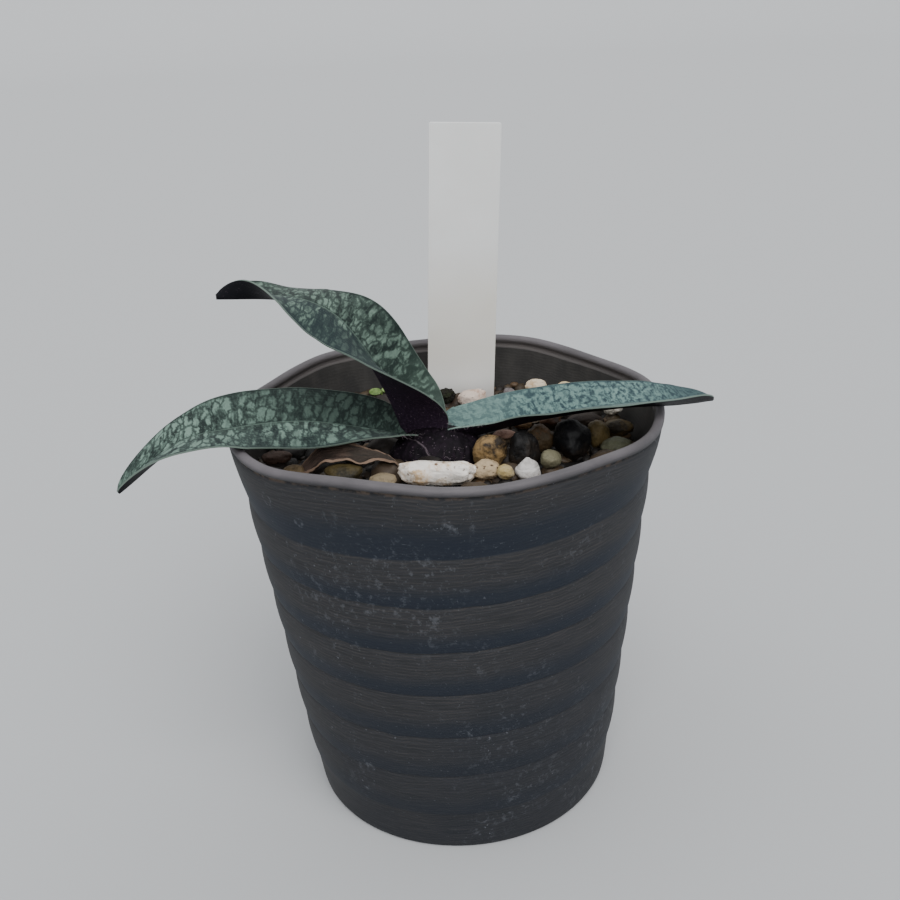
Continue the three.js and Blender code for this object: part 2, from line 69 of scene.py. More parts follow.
def add_camera():
    turn, down, tilt = (math.radians(CAMERA[k]) for k in ("turn", "down", "tilt"))
    level = math.cos(down)
    ahead = Vector((math.sin(turn) * level, math.cos(turn) * level, -math.sin(down)))
    right = ahead.cross(Vector((0, 0, 1))).normalized()
    up = right.cross(ahead)
    tilted_right = right * math.cos(tilt) + up * math.sin(tilt)
    tilted_up = up * math.cos(tilt) - right * math.sin(tilt)
    bpy.ops.object.camera_add()
    camera = bpy.context.object
    camera.name = "camera"
    place = Matrix((tilted_right, tilted_up, -ahead)).transposed().to_4x4()
    place.translation = Vector((0, -CAMERA["back"], CAMERA["height"])) * MM
    camera.matrix_world = place
    camera.data.lens = camera.data.sensor_width * CAMERA["focal"] / CAMERA["width"]
    camera.data.clip_start = 0.01
    bpy.context.scene.camera = camera
    return camera


camera = add_camera()
print("lens:", round(camera.data.lens, 1), "mm")

# %% [markdown]
# ## Light and floor
# A pot under broad soft light shows few hard shadows. Lamps could stand round it as panels, but
# then one side of the floor is brighter. Suns light everything alike, and a wide angle makes their
# shadows soft. The strongest comes from the front and above, two weak ones from the left and from
# behind keep the ribs readable, and a pale sky and the pale floor fill the rest.

# %% Studio
def add_sun(name, come_from, power, spread, colour=(1, 1, 1)):
    """A sun that shines from a direction, spread over an angle in degrees."""
    bpy.ops.object.light_add(type="SUN")
    lamp = bpy.context.object
    lamp.name = name
    lamp.data.energy = power
    lamp.data.angle = math.radians(spread)
    lamp.data.color = colour
    lamp.rotation_euler = (-Vector(come_from)).to_track_quat("-Z", "Y").to_euler()


add_sun("lamp_key", (0.25, -0.9, 1.05), 2.5, 50)
add_sun("lamp_left", (-0.9, -0.4, 0.9), 0.5, 80, (0.93, 0.96, 1))
add_sun("lamp_back", (0.4, 0.9, 0.9), 0.4, 80)

world = bpy.data.worlds.new("pale_room")
world.use_nodes = True
world.node_tree.nodes["Background"].inputs["Color"].default_value = (0.93, 0.95, 0.97, 1)
world.node_tree.nodes["Background"].inputs["Strength"].default_value = 0.72
bpy.context.scene.world = world

# %% [markdown]
# ## Sums on material sockets
# A finish is a formula over the surface. Written as node after node it is hard to read, so a small
# class wraps a socket and lets the formula be typed as Python. Colours are mixed by one method, and
# any other node comes from `node`, which sets its options first and its sockets after.

# %% Sums on a socket
class Wire:
    """One output socket of a finish, on which sums are written as in Python."""

    def __init__(self, finish, socket):
        self.finish = finish
        self.socket = socket

    def sum(self, operation, *values):
        return self.finish.node("ShaderNodeMath", {"operation": operation}, dict(enumerate(values)))

    def __add__(self, other):
        return self.sum("ADD", self, other)

    def __sub__(self, other):
        return self.sum("SUBTRACT", self, other)

    def __rsub__(self, other):
        return self.sum("SUBTRACT", other, self)

    def __mul__(self, other):
        return self.sum("MULTIPLY", self, other)

    def __truediv__(self, other):
        return self.sum("DIVIDE", self, other)

    def __pow__(self, other):
        return self.sum("POWER", self, other)

    def __abs__(self):
        return self.sum("ABSOLUTE", self)

    __radd__ = __add__
    __rmul__ = __mul__

    def sine(self):
        return self.sum("SINE", self)

    def fract(self):
        """What is left of a number above its whole part."""
        return self.sum("FRACT", self)

    def least(self, other):
        return self.sum("MINIMUM", self, other)

    def most(self, other):
        return self.sum("MAXIMUM", self, other)

    def step(self, low, high):
        """0 below low, 1 above high, and smooth between them. With low above high it falls."""
        if low > high:
            return 1 - self.step(high, low)
        options = {"interpolation_type": "SMOOTHSTEP"}
        sockets = {"Value": self, "From Min": low, "From Max": high}
        return self.finish.node("ShaderNodeMapRange", options, sockets)


print("sums:", [name for name in vars(Wire) if not name.startswith("_")])

# %% [markdown]
# The finish itself is a second class. It starts as Blender's Principled shader, with a weak or a
# strong gloss, and has one short method for each kind of node that the formulas below need.

# %% A finish and its nodes
class Finish:
    """A material with its Principled shader, and the nodes that feed it."""

    def __init__(self, name, specular=0.5):
        self.material = bpy.data.materials.new(name)
        self.material.use_nodes = True
        self.tree = self.material.node_tree
        self.shader = self.tree.nodes["Principled BSDF"]
        self.shader.inputs["Specular IOR Level"].default_value = specular

    def node(self, kind, options=None, sockets=None, output=0):
        """Any node: its options are set first, then its sockets are filled or linked."""
        made = self.tree.nodes.new(kind)
        for name, value in (options or {}).items():
            if name == "stops":
                self.set_stops(made.color_ramp, value)
            else:
                setattr(made, name, value)
        for name, value in (sockets or {}).items():
            self.feed(made.inputs[name], value)
        return Wire(self, made.outputs[output])

    def set_stops(self, ramp, stops):
        while len(ramp.elements) < len(stops):
            ramp.elements.new(1)
        for element, (position, colour) in zip(ramp.elements, stops):
            element.position = position
            element.color = colour

    def feed(self, socket, value):
        """Links a wire to a socket, or sets the socket to a value."""
        if isinstance(value, Wire):
            self.tree.links.new(value.socket, socket)
        else:
            socket.default_value = value

    def mix(self, low, high, share):
        """The colour low where the share is 0, high where it is 1."""
        options = {"data_type": "RGBA", "clamp_factor": True}
        return self.node("ShaderNodeMix", options, {0: share, 6: low, 7: high}, 2)

    def over(self, base, *coats):
        """Lays coats over a base, each a colour and its share from 0 to 1."""
        for colour, share in coats:
            base = self.mix(base, colour, share)
        return base

    def place(self):
        """The place on the piece, in metres."""
        return self.node("ShaderNodeTexCoord", output=3)

    def number(self, name):
        """A number that each vertex of the piece carries."""
        return self.node("ShaderNodeAttribute", {"attribute_name": name}, output=2)

    def chart(self):
        """The piece's own UV map."""
        return self.node("ShaderNodeUVMap", {"uv_map": "chart"})

    def parts(self, vector):
        """The three numbers of a vector."""
        split = self.node("ShaderNodeSeparateXYZ", None, {0: vector})
        return [Wire(self, out) for out in split.socket.node.outputs]

    def vector(self, x, y, z=0.0):
        return self.node("ShaderNodeCombineXYZ", None, {0: x, 1: y, 2: z})

    def scaled(self, vector, factors):
        return self.node("ShaderNodeVectorMath", {"operation": "MULTIPLY"}, {0: vector, 1: factors})

    def grain(self, vector, scale, detail=4, roughness=0.55, distortion=0.0):
        sockets = {"Vector": vector, "Scale": scale, "Detail": detail, "Roughness": roughness}
        return self.node("ShaderNodeTexNoise", None, {**sockets, "Distortion": distortion})

    def cells(self, vector, scale, feature="F1", randomness=1.0):
        sockets = {"Vector": vector, "Scale": scale, "Randomness": randomness}
        return self.node("ShaderNodeTexVoronoi", {"feature": feature}, sockets)

    def done(self, colour, roughness, relief=None, depth=0.0, strength=0.0):
        """Feeds the shader. The relief is a bump of a depth in millimetres."""
        self.feed(self.shader.inputs["Base Color"], colour)
        self.feed(self.shader.inputs["Roughness"], roughness)
        if relief is not None:
            sockets = {"Height": relief, "Distance": depth * MM, "Strength": strength}
            self.feed(self.shader.inputs["Normal"], self.node("ShaderNodeBump", None, sockets))
        return self


def paint(red, green, blue):
    """A colour from the numbers of a paint chart, 0 to 255, as the shader wants it."""
    shares = [c / 255 for c in (red, green, blue)]
    return (*[c / 12.92 if c < 0.04 else ((c + 0.055) / 1.055) ** 2.4 for c in shares], 1)


print("mid grey for the shader:", round(paint(128, 128, 128)[0], 3))

# %% [markdown]
# ## Starting a piece
# An operator acts on all that is selected, and the rigid model comes in selected. So everything is
# deselected before each new primitive, by one helper that every piece below uses. A second one goes
# into edit mode with the whole mesh selected.

# %% Start a piece
def begin(add, **sizes):
    """Adds one primitive with nothing else selected."""
    bpy.ops.object.select_all(action="DESELECT")
    add(**sizes)
    return bpy.context.object


def edit_all():
    bpy.ops.object.mode_set(mode="EDIT")
    bpy.ops.mesh.select_all(action="SELECT")


print("selected so far:", len(bpy.context.selected_objects))

# %% [markdown]
# ## The floor
# Only a plain pale sheet, part of the studio. A flat sheet would end in a horizon, so this one is a
# wide disc whose rim is extruded and turned up step by step, like the paper sweep of a studio.

# %% Floor
SWEEP = {"radius": 2.4, "rise": 1.1, "steps": 8}  # metres
floor = begin(bpy.ops.mesh.primitive_circle_add, vertices=96, radius=SWEEP["radius"], fill_type="NGON")
floor.name = "floor"
edit_all()
bpy.ops.mesh.region_to_loop()
for step in range(SWEEP["steps"]):
    a, b = (k / SWEEP["steps"] * math.pi / 2 for k in (step, step + 1))
    before, after = (SWEEP["radius"] + SWEEP["rise"] * math.sin(turn) for turn in (a, b))
    wider = after / before
    lift = SWEEP["rise"] * (math.cos(a) - math.cos(b))
    bpy.ops.mesh.extrude_edges_move(TRANSFORM_OT_translate={"value": (0, 0, lift)})
    bpy.ops.transform.resize(value=(wider, wider, 1))
bpy.ops.mesh.select_all(action="SELECT")
bpy.ops.mesh.normals_make_consistent(inside=True)
bpy.ops.object.mode_set(mode="OBJECT")
bpy.ops.object.shade_smooth_by_angle(angle=math.radians(30))
floor.data.materials.append(Finish("pale_board").done((0.5, 0.51, 0.52, 1), 0.9).material)
print("floor:", floor.name, [round(c, 2) for c in floor.dimensions], "m")

# %% [markdown]
# ## Modelling by hand, in code
# Each piece starts as a primitive and is shaped in edit mode. These helpers do the chores around
# that: make the piece the only one selected, apply a modifier, copy it, or join several into one.

# %% Select, copy and join
def only(piece):
    bpy.ops.object.select_all(action="DESELECT")
    piece.select_set(True)
    bpy.context.view_layer.objects.active = piece


def apply_modifier(piece, kind, **settings):
    only(piece)
    modifier = piece.modifiers.new(kind.lower(), kind)
    for name, value in settings.items():
        setattr(modifier, name, value)
    bpy.ops.object.modifier_apply(modifier=modifier.name)


def free_copy(source):
    """A copy with its own mesh."""
    piece = source.copy()
    piece.data = source.data.copy()
    bpy.context.scene.collection.objects.link(piece)
    return piece


def join(pieces, name):
    bpy.ops.object.select_all(action="DESELECT")
    for piece in pieces:
        piece.select_set(True)
    bpy.context.view_layer.objects.active = pieces[0]
    if len(pieces) > 1:
        bpy.ops.object.join()
    pieces[0].name = name
    pieces[0].data.name = name
    return pieces[0]


print("helpers:", [helper.__name__ for helper in (only, apply_modifier, free_copy, join)])

# %% [markdown]
# Some forms are easier to write as a formula than to pull by hand. The vertices are then read as one
# table of places, moved by sums on the whole table, and written back.

# %% Read and move the vertices
def corners(piece):
    """The places of a piece's vertices, in millimetres."""
    flat = np.empty(len(piece.data.vertices) * 3)
    piece.data.vertices.foreach_get("co", flat)
    return flat.reshape(-1, 3) / MM


def move_corners(piece, places):
    piece.data.vertices.foreach_set("co", (np.asarray(places) * MM).astype(np.float32).ravel())
    piece.data.update()


def fit_to(piece, low, high):
    """Stretches a piece so that its box is the given one, in millimetres."""
    places = corners(piece)
    old_low, old_high = places.min(0), places.max(0)
    low, high = np.array(low) / MM, np.array(high) / MM
    move_corners(piece, low + (places - old_low) * (high - low) / (old_high - old_low))


def carry(piece, name, values):
    """Gives every vertex a number, which a finish can read by its name."""
    piece.data.attributes.new(name, "FLOAT", "POINT").data.foreach_set("value", values)


def ease(x, low, high):
    """0 below low, 1 above high, and smooth between them, for numbers."""
    share = np.clip((x - low) / (high - low), 0, 1)
    return share * share * (3 - 2 * share)


print("half-way between 2 and 4:", float(ease(3, 2, 4)))

# %% [markdown]
# A finished piece is shaded smooth, takes its finish, and is parented to the body named root, while
# the nodes that it replaces are hidden.

# %% Shade, coat and hand over
def smooth(piece, angle=None):
    only(piece)
    if angle is None:
        bpy.ops.object.shade_smooth()
    else:
        bpy.ops.object.shade_smooth_by_angle(angle=math.radians(angle))


def coat(piece, *finishes):
    """Fills the piece's material slots."""
    piece.data.materials.clear()
    for finish in finishes:
        piece.data.materials.append(finish.material)


def hand_over(piece, slot, *nodes):
    """Lets the piece ride on the model, in place of its nodes, and prints its size."""
    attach(piece, "root")
    if nodes:
        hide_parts(*nodes)
    low, high = corners(piece).min(0), corners(piece).max(0)
    triangles = sum(len(p.vertices) - 2 for p in piece.data.polygons)
    print(piece.name, triangles, "triangles", np.round(low, 1), np.round(high, 1))


print("helpers:", [helper.__name__ for helper in (smooth, coat, hand_over)])

# %% [markdown]
# ## The pot
# A grower's pot is moulded from thin dark plastic. Its wall widens upwards in six shallow bands
# with sharp grooves between them, then a collar and a rounded bead that has lost its true circle.
# It could be a stack of cylinders, but one outline turned about the upright gives every band at
# once. The outline starts as a single vertex, is extruded point by point, and is spun. The rim's
# waves and the slight lean of the bands are then moved in by a formula.

# %% Pot sizes
POT = {
    "height": 88.3, "rim": 45, "bead": 1.0, "wall": 1.9, "floor": 3, "base": 33.35, "taper": 0.12,
    "groove": 9.8, "pitch": 10.67, "grooves": 7, "depth": 0.55, "flare": 1.25, "rise": 12, "tilt": 0.64,
    "ledge": 2.4, "wander": 0.45, "holes": 8, "hole": 2.2, "hole_ring": 17.5,
}  # millimetres, but for the taper, which is a share, and the numbers of grooves and drain holes
RIM_WAVES = [(1, 0.49, -114), (2, 0.59, 81), (6, 0.6, 7)]  # waves round the rim, height, peak in degrees
LAST_GROOVE = POT["groove"] + POT["pitch"] * (POT["grooves"] - 1)


def cone(z):
    """The wall's outer radius at a height, without its bands."""
    lift = min(max((z - LAST_GROOVE) / POT["rise"], 0), 1)
    return POT["base"] + POT["taper"] * z + POT["flare"] * math.sin(lift * math.pi / 2)


def band_swell(z):
    """How far a band stands out of the cone: most in its middle, nothing at its grooves."""
    share = (z - POT["groove"]) / POT["pitch"]
    if share < 0 or share >= POT["grooves"] - 1:
        return 0
    return POT["depth"] * math.sin(math.pi * (share % 1)) ** 0.6


def outside(z):
    """The wall's outer radius at a height, with its bands."""
    return cone(z) + band_swell(z) - POT["depth"] / 2


def inside(z):
    return cone(z) - POT["wall"]


def wall_lift(angle, z):
    """How far the wall's points are raised: waves at the rim, a slight lean below it."""
    near_rim = ease(z, LAST_GROOVE - 4, POT["height"] - 2)
    waves = sum(rise * np.cos(count * (angle - math.radians(peak))) for count, rise, peak in RIM_WAVES)
    return near_rim * waves + (1 - near_rim) * ease(z, 0, POT["groove"]) * POT["tilt"] * np.cos(angle)


print("grooves from", POT["groove"], "to", round(LAST_GROOVE, 2), "mm up")

# %% [markdown]
# Blender has no primitive for one vertex, so a tiny plane is merged to its centre. Each extrude then
# adds the next point of the outline, and the spin turns it into a closed shell.

# %% Turn an outline about the upright
def turned(name, outline, steps):
    piece = begin(bpy.ops.mesh.primitive_plane_add, size=0.01 * MM)
    edit_all()
    bpy.ops.mesh.merge(type="CENTER")
    bpy.ops.transform.translate(value=(outline[0][0] * MM, 0, outline[0][1] * MM))
    for before, after in zip(outline, outline[1:]):
        shift = ((after[0] - before[0]) * MM, 0, (after[1] - before[1]) * MM)
        bpy.ops.mesh.extrude_vertices_move(TRANSFORM_OT_translate={"value": shift})
    bpy.ops.mesh.select_all(action="SELECT")
    bpy.ops.mesh.spin(steps=steps, angle=2 * math.pi, center=(0, 0, 0), axis=(0, 0, 1))
    bpy.ops.mesh.select_all(action="SELECT")
    bpy.ops.mesh.remove_doubles(threshold=0.002 * MM)
    bpy.ops.mesh.normals_make_consistent(inside=False)
    bpy.ops.object.mode_set(mode="OBJECT")
    piece.name = name
    return piece


def pot_outline():
    """Radius and height, from the underside's middle up the outside and down the inside."""
    points = [(0, 0), (8.8, 0), (9.05, 0.1), (9.8, 1.4), (10.2, 1.5), (25, 1.5), (25.3, 1.35)]
    points += [(25.9, 0.1), (26.2, 0), (32.1, 0), (32.7, 0.2), (33.1, 0.9), (33.35, 2.2)]
    points += [(outside(z), z) for z in (4.5, 7)]
    for band in range(POT["grooves"] - 1):
        for share in (0, 0.02, 0.05, 0.1, 0.18, 0.3, 0.45, 0.6, 0.75, 0.86, 0.93, 0.97):
            z = POT["groove"] + POT["pitch"] * (band + share)
            points.append((outside(z), z))
    centre = POT["height"] - POT["bead"]
    for share in (0, 0.03, 0.08, 0.15, 0.3, 0.45, 0.6, 0.75, 0.86):
        z = LAST_GROOVE + (centre - LAST_GROOVE) * share
        points.append((outside(z), z))
    points += [(44.42, 86.0), (44.34, 86.25), (44.45, 86.5)]  # the crease under the bead
    for turn in range(-42, 231, 16):
        radius = POT["rim"] - POT["bead"] + POT["bead"] * math.cos(math.radians(turn))
        points.append((radius, centre + POT["bead"] * math.sin(math.radians(turn))))
    ledge = POT["height"] - POT["ledge"]
    points += [(inside(ledge) + out, ledge - drop) for out, drop in ((0.4, 0), (0.3, 0.3), (-0.02, 0.5))]
    points += [(inside(z), z) for z in (84, 82, 80, 77, LAST_GROOVE, 60, 40, 20, POT["floor"] + 2)]
    points += [(inside(3.6) - 0.5, 3.6), (inside(3) - 2, POT["floor"]), (0, POT["floor"])]
    return points


pot = turned("pot_shell", pot_outline(), steps=180)
print("pot outline:", len(pot_outline()), "points,", len(pot.data.polygons), "faces")

# %% [markdown]
# A used pot is never quite round. Its rim waves, its wall wanders by a fraction of a millimetre, and
# each vertex keeps the height it had before, so that the finish can follow the bands. The drain
# holes are cylinders taken away by a Boolean.

# %% Wave the rim and drill the drain holes
def bend_pot(piece):
    places = corners(piece)
    carry(piece, "level", places[:, 2].astype(np.float32))
    angle = np.arctan2(places[:, 1], places[:, 0])
    radius = np.hypot(places[:, 0], places[:, 1])
    rings = [Vector((math.cos(a) * 1.4, math.sin(a) * 1.4, z / 16)) for a, z in zip(angle, places[:, 2])]
    wander = np.array([noise.noise(ring) + 0.4 * noise.noise(ring * 3) for ring in rings])
    wall = ease(places[:, 2], 8, 16) * ease(radius, 31, 33)
    places[:, 2] += wall_lift(angle, places[:, 2]) + POT["wander"] * wander * wall
    move_corners(piece, places)


bend_pot(pot)
drills = []
for hole in range(POT["holes"]):
    turn = 2 * math.pi * (hole + 0.5) / POT["holes"]
    ring = POT["hole_ring"] * MM
    drills.append(begin(
        bpy.ops.mesh.primitive_cylinder_add, vertices=24, radius=POT["hole"] * MM, depth=12 * MM,
        location=(ring * math.cos(turn), ring * math.sin(turn), 0),
    ))
drill = join(drills, "drill")
only(drill)
bpy.ops.object.transform_apply()
apply_modifier(pot, "BOOLEAN", operation="DIFFERENCE", object=drill, solver="EXACT")
bpy.data.objects.remove(drill)
smooth(pot, 40)
print("pot:", len(pot.data.polygons), "faces after drilling")

# %% [markdown]
# ## Pot plastic
# The plastic is a dead dark grey. The foot of each band and the lower collar face a little downwards,
# and there a dark bluish tone is painted in: painted shade with a bluish painted reflection. Handling
# has left fine scratches that run round the pot, and hard water has left pale specks, rings and smears.
# The bead is painted paler towards its top, a painted highlight, and has rust-brown dirt under it. Just
# below the bead the wall is painted darker, a painted shade, and the hollow inside under it is painted
# paler, a painted light. An image could be wrapped round the pot, but this is made from the place on
# it: the angle round it and the height, so the scratches follow the wall.

# %% Masks over the pot
OUTER_SKIN = 0.9  # how deep into the wall the outer finish reaches
BELT = 40  # a radius that stands for the whole wall, so that a turn becomes millimetres round it


def wall_middle(level):
    """The radius inside the pot's wall where the two finishes meet, from the wire of the height."""
    flare = (level - LAST_GROOVE).step(0, POT["rise"]) * POT["flare"]
    return POT["base"] + level * POT["taper"] + flare - OUTER_SKIN


def pot_shade(level, wobble, cloud):
    """How far a point lies in the painted shade at the foot of its band or on the lower collar, from 0 to
    1.
    """
    share = ((level + (wobble - 0.5) * 1.3 - POT["groove"]) / POT["pitch"]).fract()
    shade = share.step(0.6, 0.16) * share.step(0.0, 0.03)
    collar = (level - LAST_GROOVE).step(-0.2, 0.3)
    # the lower collar faces down too, and gets the same painted shade
    low_collar_shade = (level + (cloud - 0.5) * 4 - LAST_GROOVE).step(9.0, 3.0)
    shade = shade * (1 - collar) + collar * low_collar_shade
    shade = shade * (level - POT["groove"] + 0.6).step(-0.3, 0.3)
    return shade * (0.45 + 0.35 * level.step(8, 60)) * (0.8 + 0.4 * cloud)


def pot_lime(f, place, belt, shade):
    """Specks, smears, broken rings and pale nicks that hard water and handling have left."""
    specks = f.grain(place, 1300, 3, 0.6).step(0.64, 0.73)
    smears = f.grain(f.scaled(place, (1.0, 1.0, 0.7)), 330, 5, 0.75).step(0.56, 0.74)
    patches = f.grain(place, 52, 5, 0.75).step(0.52, 0.66)
    drops = f.cells(place, 150) + (f.grain(place, 900, 3, 0.7) - 0.5) * 0.12
    rings = abs(drops - 0.2).step(0.055, 0.0) * f.grain(place, 24, 2, 0.5).step(0.57, 0.66)
    rings = rings * f.grain(place, 1300, 2, 0.6).step(0.4, 0.6)
    nicks = f.grain(f.scaled(belt, (0.5, 1.0, 3.2)), 1.0, 2, 0.5).step(0.7, 0.76) * patches.most(shade)
    dust = f.grain(place, 700, 4, 0.7).step(0.52, 0.72) * f.grain(place, 30, 3, 0.6).step(0.5, 0.64)
    lime = specks * (0.22 + 0.78 * patches)
    return lime.most(smears * patches * 0.8).most(rings * 0.45).most(nicks * 0.7).most(dust * 0.4)


print("bands to shade:", POT["grooves"] - 1, "and the collar above", round(LAST_GROOVE, 1), "mm")

# %% [markdown]
# The colour is laid on like paint: the scratched plastic first, then the painted shade at the feet of the
# bands, the inner wall, the painted highlight on the bead, its rust-brown dirt, the painted shade below
# it and the painted light in the hollow inside under it, and the lime last.

# %% Pot finish
def pot_plastic():
    f = Finish("pot_plastic", specular=0.24)
    place = f.place()
    x, y = f.parts(place)[:2]
    turn = f.node("ShaderNodeMath", {"operation": "ARCTAN2"}, {0: y, 1: x})
    level = f.number("level")
    radius = (x * x + y * y) ** 0.5 / MM
    belt = f.vector(turn * BELT, 0.0, level)
    cloud = f.grain(place, 45, 4, 0.6)
    broad = f.grain(place, 14, 3, 0.5)
    wobble = f.grain(f.scaled(belt, (0.16, 1.0, 0.12)), 1.0, 3, 0.6)
    brush = (level * 9 + wobble * 26).sine() * 0.5 + 0.5
    streak = f.grain(f.scaled(belt, (0.1, 1.0, 2.6)), 1.0, 4, 0.7)
    damp = f.grain(f.scaled(belt, (0.2, 1.0, 0.12)), 1.0, 4, 0.6)
    below_top = level - POT["height"]
    shade = pot_shade(level, wobble, cloud)
    inner = (level - 4).step(0, 1) * (radius - wall_middle(level)).step(0.3, -0.3)
    # the bead is painted paler towards its top: a painted highlight where it faces up
    top = (below_top + 2.3).step(0.3, 2.0) * (radius - POT["rim"] + 2.1).step(-0.4, 0.1)
    edge = (below_top + 1.9).step(-0.6, -0.1) * (below_top + 1.9).step(0.5, 0.0) * (1 - inner)
    rust = edge * cloud.step(0.3, 0.55) * f.grain(place, 500, 3, 0.6).step(0.4, 0.6) * 0.8
    # painted shade on the outer wall just under the bead
    under_bead_shade = below_top.step(-2.6, -2.2) * below_top.step(-1.3, -1.9) * (1 - inner)
    # painted light: the inside just under the bead is painted paler, against the shade that falls there
    recess_painted_light = (below_top + 3.1).step(0, 0.6) * inner * (1 - top)
    lime = pot_lime(f, place, belt, shade) * (1 - top * 0.6)
    base = f.over(
        f.mix(paint(37, 38, 40), paint(51, 51, 54), streak.step(0.3, 0.72)),
        (paint(60, 57, 56), brush.step(0.5, 1.0) * streak.step(0.36, 0.66) * 0.75),
        # painted shade, dark and bluish, where the bands face down
        (paint(23, 32, 45), shade),
        (paint(29, 33, 41), broad.step(0.42, 0.62) * 0.4),
        (f.mix(paint(50, 49, 48), paint(62, 60, 58), damp.step(0.35, 0.7)), inner),
        # painted highlight on the bead, paler towards its top
        (paint(106, 102, 105), top * (0.5 + 0.5 * cloud.step(0.25, 0.7))),
        (paint(122, 104, 88), rust),
        # painted shade under the bead
        (paint(22, 23, 27), under_bead_shade * 0.5),
        # painted light in the hollow inside under the bead
        (paint(98, 93, 92), recess_painted_light * 0.85),
        (paint(136, 140, 148), lime * 0.5 * (1 - inner * 0.75)),
    )
    roughness = 0.56 + 0.16 * cloud - 0.06 * top + 0.15 * lime
    return f.done(base, roughness, brush * 0.3 + streak * 0.5 + lime * 0.35, 0.1, 0.45)


coat(pot, pot_plastic())
hand_over(join([pot], "pot_shell"), "pot", "pot")

# %% [markdown]
# ## A leaf's shape
# A leaf is drawn by six stations along its midrib: where the midrib runs, how wide the leaf is, how
# far it is rolled over, and how its two halves fold up. Curves through the stations give every
# point between them. A flat grid takes this shape vertex by vertex, because a grid keeps tidy rows
# along the leaf, on which the markings can follow.

# %% Leaf stations
LEAVES = {
    "leaf_left_low": [
        ((-5.5, 2.5, 78.5), 6, -7, 33, 15), ((-16.5, -2, 83.5), 7.8, -21, 28, 3),
        ((-29, -7.5, 88), 9, -24, 15, -9), ((-41.5, -13, 89.5), 9.4, -15, 13, 0),
        ((-51.5, -18, 89), 6.8, -5, 15, -2), ((-63.5, -20.5, 81), 4, -3, 36, 8),
    ],
    "leaf_left_high": [
        ((-7.5, 4, 77), 11.4, -72, 70, 18), ((-11, -1, 90.5), 10.8, -38, 41, 19),
        ((-16.5, -4.5, 103.5), 10.4, -38, 15, 16), ((-22, -6, 110.5), 8.6, -21, 9, -30),
        ((-30, -6, 113.5), 7, 2, 8, -5), ((-42.5, -6.5, 114.5), 4.2, 30, 61, 36),
    ],
    "leaf_right": [
        ((-1.5, 2.5, 77.5), 6.8, 9, 50, 15), ((12.5, 1, 81.5), 7.2, 12, 38, 5),
        ((24.5, -4, 85.5), 8.2, 4, 26, 0), ((36.5, -8, 88), 8.2, -2, 18, 3),
        ((46.5, -9.5, 88.5), 6.2, -6, 20, 7), ((54, -7, 88), 4, -7, 25, 10),
    ],
}  # midrib and half width in millimetres; roll, fold and curl in degrees
SHEATH_END = {"leaf_left_low": 0.13, "leaf_left_high": 0.13, "leaf_right": 0.07}  # where the base ends
TIP = {"from": 0.8, "blunt": 0.11}  # where along the leaf the tip begins, and its end's share of the width
CURL_STEPS = 6
print("leaves:", {name: len(stations) for name, stations in LEAVES.items()}, "stations")

# %% [markdown]
# Between two stations each number follows a smooth cubic curve, so the leaf has no kinks. A row of
# points lies across the midrib at each place, rolled by its turn and folded up on both sides.

# %% Points of a leaf
def between(values, t):
    """A smooth curve through evenly spaced values, at t from 0 to 1."""
    last = len(values) - 1
    i = min(int(t * last), last - 1)
    s = t * last - i
    before = values[i - 1] if i > 0 else 2 * values[0] - values[1]
    after = values[i + 2] if i + 2 <= last else 2 * values[last] - values[last - 1]
    slope_in, slope_out = (values[i + 1] - before) / 2, (after - values[i]) / 2
    return (
        (2 * s**3 - 3 * s**2 + 1) * values[i] + (s**3 - 2 * s**2 + s) * slope_in
        + (3 * s**2 - 2 * s**3) * values[i + 1] + (s**3 - s**2) * slope_out
    )


def station_value(stations, column, t):
    return between([station[column] for station in stations], t)


def midrib(stations, t):
    return Vector([between([station[0][k] for station in stations], t) for k in range(3)])


def leaf_axes(stations, t):
    """The directions across the leaf and out of its upper face, at one place of its midrib."""
    along = (midrib(stations, min(t + 1e-3, 1)) - midrib(stations, max(t - 1e-3, 0))).normalized()
    level = Vector((0, 0, 1)).cross(along).normalized()
    across = Matrix.Rotation(math.radians(station_value(stations, 2, t)), 3, along) @ level
    return across, along.cross(across)


def leaf_width(stations, t):
    towards_tip = min(max((t - TIP["from"]) / (1 - TIP["from"]), 0), 1)
    return station_value(stations, 1, t) * max(math.sqrt(1 - towards_tip**2), TIP["blunt"])


def leaf_row(stations, t, shares):
    """The leaf's points at one place of its midrib, for shares from -1 to 1 across it."""
    across, out = leaf_axes(stations, t)
    rib = midrib(stations, t)
    width = leaf_width(stations, t)
    fold, curl = (math.radians(station_value(stations, column, t)) for column in (3, 4))
    row = []
    for u in shares:
        sideways = up = 0
        for k in range(CURL_STEPS):
            slope = fold + curl * abs(u) * (k + 0.5) / CURL_STEPS
            sideways += math.cos(slope) * abs(u) / CURL_STEPS
            up += math.sin(slope) * abs(u) / CURL_STEPS
        row.append(rib + across * (math.copysign(sideways, u) * width) + out * (up * width))
    return row


print("right leaf, half-way:", [round(c, 1) for c in midrib(LEAVES["leaf_right"], 0.5)])

# %% [markdown]
# The grid becomes a leaf in two moves. Its vertices go to the leaf's middle surface, and a Solidify
# modifier gives it a body that is thick along the midrib and thin at the margin. Solidify also
# gives the underside a second material, since a slipper orchid's leaf is purple below.

# %% Build a leaf from a grid
BLADE = {"rows": 150, "across": 34, "thick": 1.3, "edge": 0.32}  # thick in its middle, thin at its edge
BASE = {**BLADE, "rows": 26}
FALLEN = {"rows": 70, "across": 24, "thick": 0.6, "edge": 0.4}


